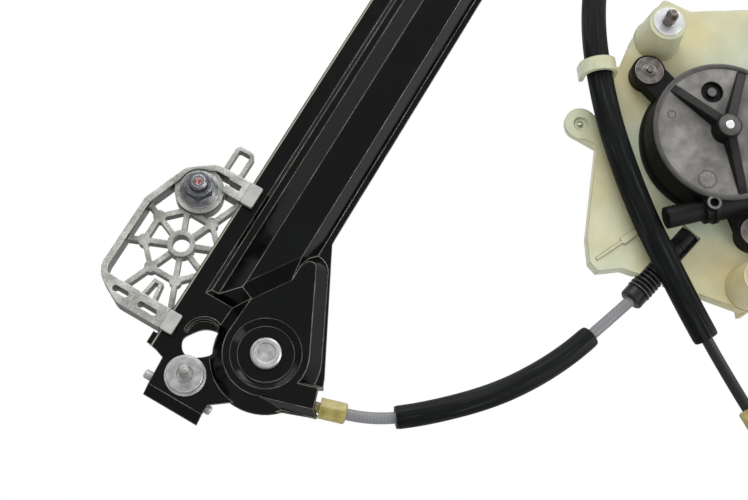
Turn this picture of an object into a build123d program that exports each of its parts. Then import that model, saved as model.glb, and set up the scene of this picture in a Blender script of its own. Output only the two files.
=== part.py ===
"""Dual-rail cable window regulator for a vehicle door.

Two pressed steel rails each guide a die-cast carrier that holds the glass.  One loop of
wire rope runs from a motor-driven drum through three conduits and round four pulleys, and
both carriers are clamped to it, so they rise together.

Frame: +X across the rails, +Z up the rails, -Y out of the front face.  The origin is the
centre of the seat of the front rail's lower stud, where the door panel bears.  Heights are
measured from the front of the rails' base sheet, positive towards the front.
"""
from math import atan2, cos, degrees, pi, radians, sin, tan
import os
from build123d import *

os.makedirs("parts", exist_ok=True)

# ---------------------------------------------------------------- driving dimensions (mm)
sheet = 1.5                     # rail sheet thickness
seat_height = 4.2               # stud seat in front of the base sheet
running_gap = 0.1               # parts that slide or turn on each other
free_gap = 0.3                  # parts that pass without touching

pulley_x = 26.9                 # pulley axis from the stud, across and up
pulley_z = 26.1
pulley_span = 430.0             # lower to upper pulley of a rail
rail_shift_x = 303.0            # rear rail from front rail
rail_shift_z = 85.9

rope_r = 0.75                   # wire rope
rope_height = 1.2               # rope plane above the base sheet
wrap_r = 17.5                   # rope centre line round a pulley
pulley_r = 19.3
rivet_r = 4.04                  # shank that the pulley turns on
pulley_bore_r = 4.1
pulley_low = -1.8               # pulley faces
pulley_high = 4.1

guide_edge_x = -21.5            # free edge of the guide flange
web_height = 11.0               # rail web in front of the base sheet
pocket_height = 8.0             # pulley housing in front of the base sheet
pocket_r = 19.8                 # flat of the pulley housing
pocket_taper = 36.0             # slope of its wall
foot_z = -16.3                  # lower edge of the rail

carrier_front = 3.3             # carrier rim, front and back faces
carrier_back = -8.0
lattice_front = -2.0            # carrier parts behind the guide flange
rim_wall = 3.0
hub_x = -34.8
hub_z = 52.2
hub_r = 6.5
hub_bore_r = 4.2
ring_r = 17.5                   # ring of eight nodes round the hub
glass_x = -41.0                 # glass clamp bolt
glass_z = 78.6
lower_arm = (12.4, 22.6)        # Z limits of the carrier's two guide arms
upper_arm = (83.0, 94.0)

conduit_r = 2.7
fitting_r = 5.15                # hexagonal conduit end fitting, across corners
fitting_length = 12.6
socket_run = 29.2               # from the rope's tangent point to the fitting
front_lower_exit = 17.2         # exit angles of the conduits, from +X, outwards
front_upper_exit = 75.0
rear_lower_exit = 31.0
rear_upper_exit = 60.0

plate_front = 4.0               # drive plate faces
plate_wall = 3.0
drum_x = 159.5                  # drum and gear axis
drum_z = 225.5
drum_wrap_r = 20.4              # rope centre line on the drum
drum_r = 23.2
drum_high = 0.4                 # drum faces
drum_low = -9.8
cup_r = 28.4                    # drum chamber on the back of the plate, outer wall
cup_wall = 2.0
cup_back = -10.6
lower_line = 77.3               # direction of the rope into the drum, from +X
upper_line = 71.5
lower_rope_height = -3.4
upper_rope_height = -6.4

gear_r = 34.5                   # face of the gear housing
gear_face = 24.0
gear_base_r = 36.3
hub_face = 32.5
worm_height = 16.0              # worm and motor axis above the base sheet
worm_offset = 32.7              # worm axis to gear axis
motor_angle = 44.5              # direction of the motor shaft, from +X
motor_width = 36.0
motor_thick = 23.4
motor_start = 36.0              # steel can along the shaft, from the foot of the gear axis
motor_length = 62.0

stud_r = 3.0
glass_bolt_r = 4.0

wrap_y = seat_height - rope_height
rail_top = 2 * pulley_z + pulley_span
rail_middle = rail_top / 2
rope_x = pulley_x - wrap_r


# ---------------------------------------------------------------- placing helpers
def level(height):
    """Plane parallel to the rails at a height above the base sheet, facing the front."""
    return Plane.XZ.offset(height - seat_height)


def spot(x, z, height):
    return Vector(x, seat_height - height, z)


def heading(angle):
    """Unit vector in the plane of the rails."""
    return Vector(cos(radians(angle)), 0, sin(radians(angle)))


def front_axis(x, z, height):
    """Plane on a front-facing axis: its local Z points out of the front."""
    return Plane(origin=spot(x, z, height), x_dir=(1, 0, 0), z_dir=(0, -1, 0))


def to_rear(piece):
    """The rear side's copy: a mirror image, moved to the rear rail."""
    return piece.mirror(Plane.YZ).moved(Location((rail_shift_x, 0, rail_shift_z)))


def to_top(piece):
    """The same end fitting at the upper end of its rail."""
    return piece.mirror(Plane.XY.offset(rail_middle))


def finish(part, label):
    part.label = label
    export_step(part, f"parts/{label}.step")
    return part


# ---------------------------------------------------------------- rails
step_run = (-12.6, -10.4)       # small step between guide flange and base strip
step_height = 2.5
left_wall = (-6.8, 2.4)         # foot and top of the web's left wall
right_wall = (23.0, 18.2)
rail_edge_x = 25.8
web_end_z = (38.0, 47.0)        # where the left wall runs out
crease_run = 7.5                # web steps down to the pulley housing over this distance
crease_angle = 56.8             # line of that crease, from +X
crease_start = (1.0, 47.0)
corner_x = 12.0                 # third and second corner of the housing flat
corner_z = 44.0
corner_r = 4.0
apex_x = 23.5
apex_z = 71.0
apex_r = 3.0
dimple_r = (16.4, 13.0)         # pressed ring round the rivet
dimple_depth = 2.0
exit_inner = 10.0               # exit channel, offsets from the pulley axis
exit_outer = 20.0
exit_taper = 15.0
edge_run = socket_run           # length of the channel past the tangent point
edge_outer = 22.4
flange_r = 24.0
flange_corner = (49.8, 28.5)
bend_z = -11.4                  # the foot leans back below this line
foot_lean = 4.0


def exit_frame(angle, height):
    """Sketch plane on the pulley axis, local X along the exit, local Y away from the wrap."""
    return Plane(origin=spot(pulley_x, pulley_z, height), x_dir=heading(angle), z_dir=(0, -1, 0))


def pressing(exit_angle, inset):
    """Solid under the raised skin of a rail's lower half, its faces moved inwards by inset."""
    back = sheet + 2 * inset
    slope = tan(radians(pocket_taper))
    wall_inset = inset / cos(radians(pocket_taper))
    crease = heading(crease_angle)
    fall = (web_height - pocket_height) / crease_run
    crease_normal = Vector(crease.Z * fall, -1, -crease.X * fall).normalized()
    end_slope = web_height / (web_end_z[1] - web_end_z[0])
    end_normal = Vector(0, -1, -end_slope).normalized()
    crease_point = spot(crease_start[0], crease_start[1], web_height) - crease_normal * inset
    end_point = spot(0, web_end_z[0], 0) - end_normal * inset
    with BuildPart() as form:
        with BuildSketch(Plane.XY.offset(web_end_z[0] - back)):
            with BuildLine():
                Polyline(
                    (step_run[0], seat_height + back),
                    (step_run[0], seat_height),
                    (step_run[1], seat_height - step_height),
                    (left_wall[0], seat_height - step_height),
                    (left_wall[1], seat_height - web_height),
                    (right_wall[1], seat_height - web_height),
                    (right_wall[0], seat_height),
                    (right_wall[0], seat_height + back),
                    close=True,
                )
            make_face()
            if inset:
                offset(amount=-inset, kind=Kind.INTERSECTION, mode=Mode.REPLACE)
        extrude(amount=rail_middle - web_end_z[0] + 2 * back)
        split(bisect_by=Plane(end_point, z_dir=end_normal), keep=Keep.BOTTOM)
        split(bisect_by=Plane(crease_point, z_dir=crease_normal), keep=Keep.BOTTOM)
        for height in (-back, pocket_height - inset):
            grow = (pocket_height - height) * slope - wall_inset
            with BuildSketch(level(height)):
                with Locations((pulley_x, pulley_z)):
                    Circle(pocket_r + grow)
                with Locations((corner_x, corner_z)):
                    Circle(corner_r + grow)
                with Locations((apex_x, apex_z)):
                    Circle(apex_r + grow)
                make_hull()
        loft(ruled=True)
        exit_spread = (pocket_height + back) * tan(radians(exit_taper)) - inset / cos(radians(exit_taper))
        with BuildSketch(exit_frame(exit_angle, -back)):
            with Locations((edge_run / 2 + inset, -(exit_inner + exit_outer) / 2)):
                Rectangle(edge_run + 2 * inset, exit_outer - exit_inner + 2 * exit_spread)
        extrude(amount=pocket_height + back - inset, taper=exit_taper)
        dimple_slope = degrees(atan2(dimple_r[0] - dimple_r[1], dimple_depth))
        with BuildSketch(level(pocket_height - inset)):
            with Locations((pulley_x, pulley_z)):
                Circle(dimple_r[0] + inset / 2)
        extrude(amount=-dimple_depth, taper=dimple_slope, mode=Mode.SUBTRACT)
    return form.part


def rail_half(exit_angle):
    """One end of a rail, from its foot to mid-length, with the conduit leaving at exit_angle."""
    with BuildPart() as half:
        with BuildSketch(level(0)):
            with BuildLine():
                Polyline(
                    (guide_edge_x, rail_middle),
                    (guide_edge_x, 10.4),
                    (guide_edge_x - 2.0, 10.4),
                    (guide_edge_x - 2.0, 4.5),
                    (-18.0, 3.5),
                    (-13.5, 2.0),
                    (-12.6, bend_z),
                    (15.7, bend_z),
                    (16.0, -6.2),
                    (pulley_x, pulley_z - flange_r),
                    (pulley_x, apex_z),
                    (rail_edge_x, 91.0),
                    (rail_edge_x, rail_middle),
                    close=True,
                )
            make_face()
        extrude(amount=-sheet)
        with BuildSketch(level(0)) as skirt:
            with Locations((pulley_x, pulley_z)):
                Circle(flange_r)
            with Locations(flange_corner):
                Circle(6.0)
            with Locations((rail_edge_x - 2, 88.0)):
                Circle(2.0)
            along = heading(exit_angle) * (edge_run - 1)
            outwards = heading(exit_angle - 90)
            for offset_out in (exit_inner + 2.5, edge_outer - 1):
                corner = along + outwards * offset_out
                with Locations((pulley_x + corner.X, pulley_z + corner.Z)):
                    Circle(1.0)
            make_hull()
        extrude(amount=-sheet)
        add(pressing(exit_angle, 0))
        add(pressing(exit_angle, sheet), mode=Mode.SUBTRACT)
        # room for the conduit's fitting
        with BuildSketch(exit_frame(exit_angle, -2 * sheet)):
            with Locations((socket_run + fitting_length, -wrap_r)):
                Rectangle(2 * fitting_length, 2 * (fitting_r + free_gap))
        extrude(amount=4 * sheet, mode=Mode.SUBTRACT)
        # foot, leaning back below the bend
        with BuildSketch(Plane.YZ.offset(-12.6)):
            with BuildLine():
                Polyline(
                    (seat_height, bend_z),
                    (seat_height + sheet, bend_z),
                    (seat_height + foot_lean + sheet, foot_z),
                    (seat_height + foot_lean, foot_z),
                    close=True,
                )
            make_face()
        extrude(amount=28.3)
        # access hole with a lip turned up over its top
        with BuildSketch(level(sheet)):
            with BuildLine():
                Spline((-9.2, 12.0), (-4.2, 8.3), (1.2, 10.6), (6.4, 17.6), (5.0, 23.6), (-3.3, 23.0),
                       (-8.2, 17.5), periodic=True)
            make_face()
        extrude(amount=-3 * sheet, mode=Mode.SUBTRACT)
        with BuildSketch(level(0)):
            with BuildLine():
                lip = ThreePointArc((-10.6, 17.5), (-7.6, 25.8), (1.2, 27.4))
            trace(line_width=sheet)
        extrude(amount=3.6)
        # stud and rivet holes
        with Locations(front_axis(0, 0, 0)):
            Hole(stud_r + running_gap, depth=2 * sheet)
        with Locations(front_axis(pulley_x, pulley_z, pocket_height)):
            Hole(rivet_r + running_gap / 2, depth=pocket_height)
    return half.part


def rail(lower_exit, upper_exit):
    with BuildPart() as whole:
        add(rail_half(lower_exit))
        add(to_top(rail_half(upper_exit)))
    return whole.part


with BuildPart() as front_rail:
    add(rail(front_lower_exit, front_upper_exit))
finish(front_rail.part, "front_rail")

with BuildPart() as rear_rail:
    add(to_rear(rail(rear_lower_exit, rear_upper_exit)))
finish(rear_rail.part, "rear_rail")


# ---------------------------------------------------------------- turned parts
def section_plane(x, z):
    """Radial section of a turned part: local X is the radius, local Y the height."""
    return Plane(origin=(x, seat_height, z), x_dir=(1, 0, 0), z_dir=(0, 0, -1))


def turned(x, z, *profile):
    """Solid of revolution about a front-facing axis, from (radius, height) points."""
    with BuildPart() as body:
        with BuildSketch(section_plane(x, z)):
            with BuildLine():
                Polyline(*profile, close=True)
            make_face()
        revolve(axis=Axis((x, 0, z), (0, -1, 0)))
    return body.part


# ---------------------------------------------------------------- pulleys and their rivets
groove_floor = wrap_r - rope_r - free_gap
groove_half = rope_r + free_gap
groove_mouth = 2.2
pulley_hub_r = 8.0
pulley_rim_r = 14.0
pulley_web = (0.0, 2.4)
rim_low = pulley_low + 0.3
rim_high = pulley_high - 0.3
hole_count = 6
hole_r = 2.2
rivet_head_r = 7.1
rivet_cup_r = 4.3
dimple_floor = pocket_height - dimple_depth
rivet_back_r = 6.5


def pulley_wheel():
    with BuildPart() as wheel:
        add(turned(
            pulley_x, pulley_z,
            (pulley_bore_r, pulley_low), (pulley_hub_r, pulley_low), (pulley_hub_r, pulley_web[0]),
            (pulley_rim_r, pulley_web[0]), (pulley_rim_r, rim_low), (pulley_r, rim_low),
            (pulley_r, rope_height - groove_mouth), (groove_floor, rope_height - groove_half),
            (groove_floor, rope_height + groove_half), (pulley_r, rope_height + groove_mouth),
            (pulley_r, rim_high), (pulley_rim_r, rim_high), (pulley_rim_r, pulley_web[1]),
            (pulley_hub_r, pulley_web[1]), (pulley_hub_r, pulley_high), (pulley_bore_r, pulley_high),
        ))
        with Locations(front_axis(pulley_x, pulley_z, pulley_web[1])):
            with PolarLocations((pulley_hub_r + pulley_rim_r) / 2, hole_count):
                Hole(hole_r, depth=pulley_web[1] - pulley_web[0])
    return wheel.part


def pulley_rivet():
    back = pulley_low - running_gap
    head = dimple_floor + 3.4
    return turned(
        pulley_x, pulley_z,
        (0, back - 1.8), (rivet_back_r, back - 1.8), (rivet_back_r, back), (rivet_r, back),
        (rivet_r, dimple_floor), (rivet_head_r, dimple_floor), (rivet_head_r, head - 0.6),
        (rivet_head_r - 0.8, head), (rivet_cup_r + 0.6, head), (rivet_cup_r, head - 1.2),
        (0, head - 1.2),
    )


with BuildPart() as front_lower_pulley:
    add(pulley_wheel())
finish(front_lower_pulley.part, "front_lower_pulley")

with BuildPart() as front_upper_pulley:
    add(to_top(pulley_wheel()))
finish(front_upper_pulley.part, "front_upper_pulley")

with BuildPart() as rear_lower_pulley:
    add(to_rear(pulley_wheel()))
finish(rear_lower_pulley.part, "rear_lower_pulley")

with BuildPart() as rear_upper_pulley:
    add(to_rear(to_top(pulley_wheel())))
finish(rear_upper_pulley.part, "rear_upper_pulley")

for label, place in (
    ("front_lower_rivet", lambda piece: piece),
    ("front_upper_rivet", to_top),
    ("rear_lower_rivet", to_rear),
    ("rear_upper_rivet", lambda piece: to_rear(to_top(piece))),
):
    with BuildPart() as rivet:
        add(place(pulley_rivet()))
    finish(rivet.part, label)


# ---------------------------------------------------------------- mounting studs of the rails
seat_r = 8.6
seat_rim_r = 9.6
seat_rim = 1.2
stud_recess_r = 4.4
stud_recess = 1.0
stud_tip = 20.0                 # height of the stud's end
block_half = 6.0
block_z = (-11.0, 5.0)
pin_r = 2.2
pin_x = (-17.0, 18.0)
pin_z = -7.6


def mounting_stud():
    """Flanged stud; its shank goes through the sheet into the swivel block behind."""
    return turned(
        0, 0,
        (0, -sheet), (stud_r - 0.1, -sheet), (stud_r - 0.1, 0), (seat_rim_r, 0),
        (seat_rim_r, seat_rim), (seat_r, seat_rim), (seat_r, seat_height - 0.4),
        (seat_r - 0.4, seat_height), (stud_recess_r, seat_height),
        (stud_recess_r, seat_height - stud_recess), (stud_r, seat_height - stud_recess),
        (stud_r, stud_tip - 1.0), (stud_r - 1.0, stud_tip), (0, stud_tip),
    )


def swivel_block():
    """Block behind the foot that the stud screws into, bored for the cross pin."""
    pin_height = -sheet - pin_r - 0.2
    with BuildPart() as block:
        with BuildSketch(level(-sheet)):
            with Locations((0, sum(block_z) / 2)):
                RectangleRounded(2 * block_half, block_z[1] - block_z[0], 2.0)
        extrude(amount=-(2 * pin_r + 1.2))
        with BuildSketch(Plane.YZ.offset(-block_half)):
            with Locations((seat_height - pin_height, pin_z)):
                Circle(pin_r + running_gap / 2)
        extrude(amount=2 * block_half, mode=Mode.SUBTRACT)
    return block.part


def cross_pin():
    pin_height = -sheet - pin_r - 0.2
    with BuildPart() as pin:
        with BuildSketch(Plane.YZ.offset(pin_x[0])):
            with Locations((seat_height - pin_height, pin_z)):
                Circle(pin_r)
        extrude(amount=pin_x[1] - pin_x[0])
        chamfer(pin.edges().filter_by(GeomType.CIRCLE), 0.5)
    return pin.part


for label, place in (
    ("front_lower_stud", lambda piece: piece),
    ("front_upper_stud", to_top),
    ("rear_lower_stud", to_rear),
    ("rear_upper_stud", lambda piece: to_rear(to_top(piece))),
):
    with BuildPart() as stud:
        add(place(mounting_stud()))
    finish(stud.part, label)

with BuildPart() as swivel_blocks:
    for piece in (swivel_block(), to_top(swivel_block())):
        add(piece)
        add(to_rear(piece))
finish(swivel_blocks.part, "swivel_blocks")

with BuildPart() as cross_pins:
    for piece in (cross_pin(), to_top(cross_pin())):
        add(piece)
        add(to_rear(piece))
finish(cross_pins.part, "cross_pins")


# ---------------------------------------------------------------- carriers
node_r = 2.9
spoke_width = 2.4
strut_reach = (17.5, 34.0, 24.0, 30.0, 30.0, 34.0, 40.0, 17.5)    # spokes, some on to the rim
boss_r = 11.6
boss_toe = (-51.5, 83.0)        # the boss runs out into the rim's corner
boss_front = 2.0
washer_r = 9.4
arm_start_x = (-58.0, -31.5)    # solid length of the lower and upper arm
arm_end_x = guide_edge_x - free_gap    # the arms stop here, the shoes go on
pocket_x = -25.0                # bottom of the pocket that holds a shoe
shoe_end_x = -15.3
shoe_back = -4.6
shoe_tongue = 2.0
bridge_x = 14.0                 # end of the bridge behind the rail
bridge_z = (47.5, 68.5)
bridge_heights = (-6.8, -2.4)
rope_block_x = (5.0, 14.0)
rope_block_top = 3.6
nipple_r = 2.3
nipple_length = 6.0
nipple_z = (49.5, 60.5)
loop_x = (-37.2, -27.2)
loop_z = (92.5, 107.6)
loop_bar = 1.9


def carrier_outline():
    """Outer outline of a carrier, drawn clockwise from its upper arm."""
    corners = [
        (shoe_end_x, upper_arm[1]), (-40.0, upper_arm[1] - 0.6), (-52.0, 84.2), (-60.4, 62.0),
        (-60.4, 21.0), (-44.5, lower_arm[0]), (shoe_end_x, lower_arm[0]),
    ]
    with BuildSketch() as outline:
        Polygon(*corners, align=None)
        for corner, radius in zip(corners[1:-1], (8.0, 6.0, 8.0, 11.0, 8.0)):
            fillet(outline.vertices().sort_by_distance((*corner, 0))[0], radius)
    return outline.sketch


def on_ring(index, radius=ring_r):
    """Point of the lattice ring; its nodes lie half-way between the axes."""
    angle = 22.5 + 45.0 * index
    turn = heading(angle) * radius
    return (hub_x + turn.X, hub_z + turn.Z)


def carrier():
    """Die-cast lattice: rim, two guide arms, glass boss, spoked hub and rope bridge."""
    depth = carrier_front - carrier_back
    outline = carrier_outline()
    inside = offset(outline, amount=-rim_wall / 2, kind=Kind.INTERSECTION)
    with BuildPart() as frame:
        # rim
        with BuildSketch(level(carrier_back)):
            add(outline)
            offset(amount=-rim_wall, kind=Kind.INTERSECTION, mode=Mode.SUBTRACT)
        extrude(amount=depth)
        # lattice inside the rim
        with BuildSketch(level(carrier_back)):
            for index in range(8):
                with Locations(Location((hub_x, hub_z), 22.5 + 45.0 * index)):
                    Rectangle(strut_reach[index], spoke_width, align=(Align.MIN, Align.CENTER))
                with Locations(Location(on_ring(index), 22.5 + 45.0 * index + 112.5)):
                    Rectangle(2 * ring_r * sin(pi / 8), spoke_width, align=(Align.MIN, Align.CENTER))
                with Locations(on_ring(index)):
                    Circle(node_r)
            add(inside, mode=Mode.INTERSECT)
        extrude(amount=lattice_front - carrier_back)
        with BuildSketch(level(carrier_back)):
            with Locations((hub_x, hub_z)):
                Circle(hub_r)
        extrude(amount=depth - 3.0)
        # glass boss, arms
        with BuildSketch(level(carrier_back)):
            with Locations((glass_x, glass_z)):
                Circle(boss_r)
            with Locations(boss_toe):
                Circle(2.5)
            make_hull()
            add(inside, mode=Mode.INTERSECT)
        extrude(amount=boss_front - carrier_back)
        for start, (low, high) in zip(arm_start_x, (lower_arm, upper_arm)):
            with BuildSketch(level(carrier_back)):
                with Locations(((shoe_end_x + start) / 2, (low + high) / 2)):
                    Rectangle(shoe_end_x - start, high - low)
                add(outline, mode=Mode.INTERSECT)
            extrude(amount=depth)
        # small rib loop above the lower arm
        with BuildSketch(level(carrier_back)):
            with BuildLine():
                Polyline((-37.0, lower_arm[1]), (-35.6, 31.0), (-32.4, 31.0), (-31.2, lower_arm[1]))
            trace(line_width=1.6)
        extrude(amount=depth - 3.0)
        # glass stop loop above the upper arm
        with BuildSketch(level(carrier_back + 3.0)):
            with Locations(((loop_x[0] + loop_x[1]) / 2, (loop_z[0] + loop_z[1]) / 2)):
                RectangleRounded(loop_x[1] - loop_x[0], loop_z[1] - loop_z[0], 3.0)
                RectangleRounded(loop_x[1] - loop_x[0] - 2 * loop_bar, loop_z[1] - loop_z[0] - 2 * loop_bar,
                                 1.2, mode=Mode.SUBTRACT)
        extrude(amount=6.0)
        # everything right of the arm ends lies behind the guide flange
        with BuildSketch(level(lattice_front)):
            with Locations(((arm_end_x + bridge_x) / 2, hub_z)):
                Rectangle(bridge_x - arm_end_x, 140.0)
        extrude(amount=depth, mode=Mode.SUBTRACT)
        # bridge behind the rail, and the block that grips the rope inside the channel
        middle = (bridge_z[0] + bridge_z[1]) / 2
        with BuildSketch(level(bridge_heights[0])):
            with Locations(((shoe_end_x - 2 + bridge_x) / 2, middle)):
                Rectangle(bridge_x - shoe_end_x + 2, bridge_z[1] - bridge_z[0])
        extrude(amount=bridge_heights[1] - bridge_heights[0])
        with BuildSketch(level(bridge_heights[0])):
            with Locations(((rope_block_x[0] + rope_block_x[1]) / 2, middle)):
                Rectangle(rope_block_x[1] - rope_block_x[0], bridge_z[1] - bridge_z[0])
        extrude(amount=rope_block_top - bridge_heights[0])
        slot_half = rope_r + free_gap
        with BuildSketch(level(rope_height - slot_half)):
            with Locations((rope_x, middle)):
                Rectangle(2 * slot_half, bridge_z[1] - bridge_z[0])
            for z in nipple_z:
                with Locations((rope_x, z + nipple_length / 2)):
                    Rectangle(2 * nipple_r + running_gap, nipple_length + running_gap)
        extrude(amount=rope_block_top, mode=Mode.SUBTRACT)
        for z in nipple_z:
            with BuildSketch(Plane.XY.offset(z - running_gap / 2)):
                with Locations((rope_x, wrap_y)):
                    Circle(nipple_r + running_gap / 2)
            extrude(amount=nipple_length + running_gap, mode=Mode.SUBTRACT)
        # shoe pockets, core windows in the arms
        for low, high in (lower_arm, upper_arm):
            with BuildSketch(level(shoe_back - running_gap)):
                with Locations(((pocket_x + bridge_x) / 2, (low + high) / 2)):
                    Rectangle(bridge_x - pocket_x, high - low - 2 * spoke_width)
            extrude(amount=shoe_tongue - shoe_back + 2 * running_gap, mode=Mode.SUBTRACT)
            with BuildSketch(level(shoe_back - running_gap)):
                with Locations(((arm_end_x + bridge_x) / 2, (low + high) / 2)):
                    Rectangle(bridge_x - arm_end_x, high - low + 1)
            extrude(amount=carrier_front - shoe_back + 1, mode=Mode.SUBTRACT)
        with BuildSketch(level(carrier_back)):
            with Locations((-31.0, 17.3)):
                SlotOverall(10.0, 3.0)
            with Locations((-45.8, 18.0)):
                SlotOverall(8.5, 3.0)
            with Locations((-28.0, 88.4)):
                Rectangle(7.0, 2.8)
        extrude(amount=depth, mode=Mode.SUBTRACT)
        # spot face for the glass washer, bores
        with BuildSketch(level(boss_front)):
            with Locations((glass_x, glass_z)):
                Circle(washer_r + 0.5)
        extrude(amount=depth, mode=Mode.SUBTRACT)
        with Locations(front_axis(hub_x, hub_z, carrier_front)):
            Hole(hub_bore_r)
        with Locations(front_axis(glass_x, glass_z, carrier_front)):
            Hole(glass_bolt_r + running_gap)
    return frame.part


def guide_shoe(low, high):
    """Plastic shoe: its tongue sits in the arm, its jaws slide on the guide flange."""
    jaw = free_gap / 2
    with BuildPart() as shoe:
        with BuildSketch(level(shoe_back)):
            with Locations(((pocket_x + arm_end_x) / 2 + running_gap, (low + high) / 2)):
                Rectangle(arm_end_x - pocket_x, high - low - 2 * spoke_width - 2 * running_gap)
        extrude(amount=shoe_tongue - shoe_back)
        with BuildSketch(level(shoe_back)):
            with Locations(((arm_end_x + shoe_end_x) / 2 + running_gap, (low + high) / 2)):
                RectangleRounded(shoe_end_x - arm_end_x, high - low, 0.8)
        extrude(amount=carrier_front - shoe_back)
        with BuildSketch(level(-sheet - jaw)):
            with Locations(((guide_edge_x + bridge_x) / 2 - jaw, (low + high) / 2)):
                Rectangle(bridge_x - guide_edge_x, high - low + 1)
        extrude(amount=sheet + 2 * jaw, mode=Mode.SUBTRACT)
    return shoe.part


def cable_nipple(z):
    """Crimped end of the rope, bored over the rope that runs on."""
    with BuildPart() as nipple:
        with BuildSketch(Plane.XY.offset(z)):
            with Locations((rope_x, wrap_y)):
                Circle(nipple_r)
                Circle(rope_r + free_gap, mode=Mode.SUBTRACT)
        extrude(amount=nipple_length)
    return nipple.part


nut_flange_r = 8.8
nut_across = 13.0
bolt_tip = 14.5
bolt_head_r = 8.0


def glass_bolt():
    return turned(
        glass_x, glass_z,
        (0, carrier_back - 3.0), (bolt_head_r - 1, carrier_back - 3.0), (bolt_head_r, carrier_back - 2.0),
        (bolt_head_r, carrier_back), (glass_bolt_r, carrier_back), (glass_bolt_r, bolt_tip - 1.0),
        (glass_bolt_r - 1.0, bolt_tip), (0, bolt_tip),
    )


def glass_nut():
    """Flange nut over a loose washer."""
    with BuildPart() as nut:
        add(turned(
            glass_x, glass_z,
            (glass_bolt_r, boss_front), (washer_r, boss_front), (washer_r, boss_front + 1.0),
            (nut_flange_r, boss_front + 1.0), (nut_flange_r, boss_front + 1.9),
            (nut_across / 2, boss_front + 3.0), (glass_bolt_r, boss_front + 3.0),
        ))
        with BuildSketch(level(boss_front + 2.0)):
            with Locations((glass_x, glass_z)):
                RegularPolygon(nut_across / 2, 6, major_radius=False)
                Circle(glass_bolt_r, mode=Mode.SUBTRACT)
        extrude(amount=7.6)
    return nut.part


carrier_shape = carrier()
for side, place in (("front", lambda piece: piece), ("rear", to_rear)):
    with BuildPart() as carrier_frame:
        add(place(carrier_shape))
    finish(carrier_frame.part, f"{side}_carrier_frame")
    for end, arm in (("lower", lower_arm), ("upper", upper_arm)):
        with BuildPart() as shoe:
            add(place(guide_shoe(*arm)))
        finish(shoe.part, f"{side}_{end}_shoe")
    with BuildPart() as bolt:
        add(place(glass_bolt()))
    finish(bolt.part, f"{side}_glass_bolt")
    with BuildPart() as nut:
        add(place(glass_nut()))
    finish(nut.part, f"{side}_glass_nut")
    with BuildPart() as nipples:
        for z in nipple_z:
            add(place(cable_nipple(z)))
    finish(nipples.part, f"{side}_rope_nipples")


# ---------------------------------------------------------------- ropes
def round_rod(path, radius, bore=0.0):
    """Round rod or tube along a wire."""
    with BuildPart() as rod:
        with BuildSketch(Plane(origin=path @ 0, z_dir=path % 0)):
            Circle(radius)
            if bore:
                Circle(bore, mode=Mode.SUBTRACT)
        sweep(path=path)
    return rod.part


def rail_rope(lower_exit, upper_exit):
    """Rope of one rail: round the lower pulley, up inside the channel, round the upper one."""
    with BuildLine(level(rope_height)) as path:
        low = CenterArc((pulley_x, pulley_z), wrap_r, 180, 90 + lower_exit)
        Line(low @ 1, low @ 1 + low % 1 * (socket_run - free_gap))
        high = CenterArc((pulley_x, rail_top - pulley_z), wrap_r, 180, -90 - upper_exit)
        Line(high @ 1, high @ 1 + high % 1 * (socket_run - free_gap))
        Line(low @ 0, high @ 0)
    return round_rod(path.wires()[0], rope_r)


with BuildPart() as front_rail_rope:
    add(rail_rope(front_lower_exit, front_upper_exit))
finish(front_rail_rope.part, "front_rail_rope")

with BuildPart() as rear_rail_rope:
    add(to_rear(rail_rope(rear_lower_exit, rear_upper_exit)))
finish(rear_rail_rope.part, "rear_rail_rope")


# ---------------------------------------------------------------- conduit end fittings
fitting_nose = 5.0
fitting_nose_r = 2.5


def exit_point(exit_angle, run, height=rope_height):
    """Point on the rope's line, run beyond the lower pulley's tangent point."""
    offset_vector = heading(exit_angle) * run + heading(exit_angle - 90) * wrap_r
    return spot(pulley_x + offset_vector.X, pulley_z + offset_vector.Z, height)


def end_fitting(exit_angle):
    """Hexagonal conduit end with a collar, its nose held in the rail's exit channel."""
    socket = exit_point(exit_angle, socket_run + running_gap)
    start = Plane(origin=socket, x_dir=(0, -1, 0), z_dir=heading(exit_angle))
    with BuildPart() as fitting:
        with BuildSketch(start):
            RegularPolygon(fitting_r, 6)
        extrude(amount=fitting_length - running_gap)
        chamfer(fitting.edges().group_by(Axis(start.origin, start.z_dir))[-1], 0.8)
        with BuildSketch(start):
            Circle(fitting_nose_r)
        extrude(amount=-fitting_nose)
        with BuildSketch(start.offset(-fitting_nose)):
            Circle(rope_r + free_gap)
        extrude(amount=fitting_nose + 4.0, mode=Mode.SUBTRACT)
    return fitting.part


fitting_places = {
    "front_lower": (front_lower_exit, lambda piece: piece),
    "front_upper": (front_upper_exit, to_top),
    "rear_lower": (rear_lower_exit, to_rear),
    "rear_upper": (rear_upper_exit, lambda piece: to_rear(to_top(piece))),
}
for end, (angle, place) in fitting_places.items():
    with BuildPart() as fitting:
        add(place(end_fitting(angle)))
    finish(fitting.part, f"{end}_fitting")


# ---------------------------------------------------------------- drum line: bellows and holders
def drum_line(angle, height, back_off):
    """Plane on the rope's line into the drum, back_off before its tangent point."""
    along = heading(angle)
    side = heading(angle - 90) * drum_wrap_r
    return Plane(
        origin=spot(drum_x + side.X - along.X * back_off, drum_z + side.Z - along.Z * back_off, height),
        x_dir=(0, -1, 0),
        z_dir=along,
    )


holder_start = 62.0             # distances before the tangent point
bellows_start = 85.0
holder_end = 22.0
holder_r = 6.0
bellows_r = (4.7, 5.9)
bellows_collar = 5.2
bellows_ribs = 8
upper_holder_start = 52.0       # the upper line leaves the drum, so it counts backwards
upper_bellows_start = 75.0


def spun(frame, *profile):
    """Solid of revolution about a frame's local Z, from (radius, distance) points."""
    section = Plane(origin=frame.origin, x_dir=frame.x_dir, z_dir=-frame.y_dir)
    with BuildPart() as body:
        with BuildSketch(section):
            with BuildLine():
                Polyline(*profile, close=True)
            make_face()
        revolve(axis=Axis(frame.origin, frame.z_dir))
    return body.part


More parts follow.
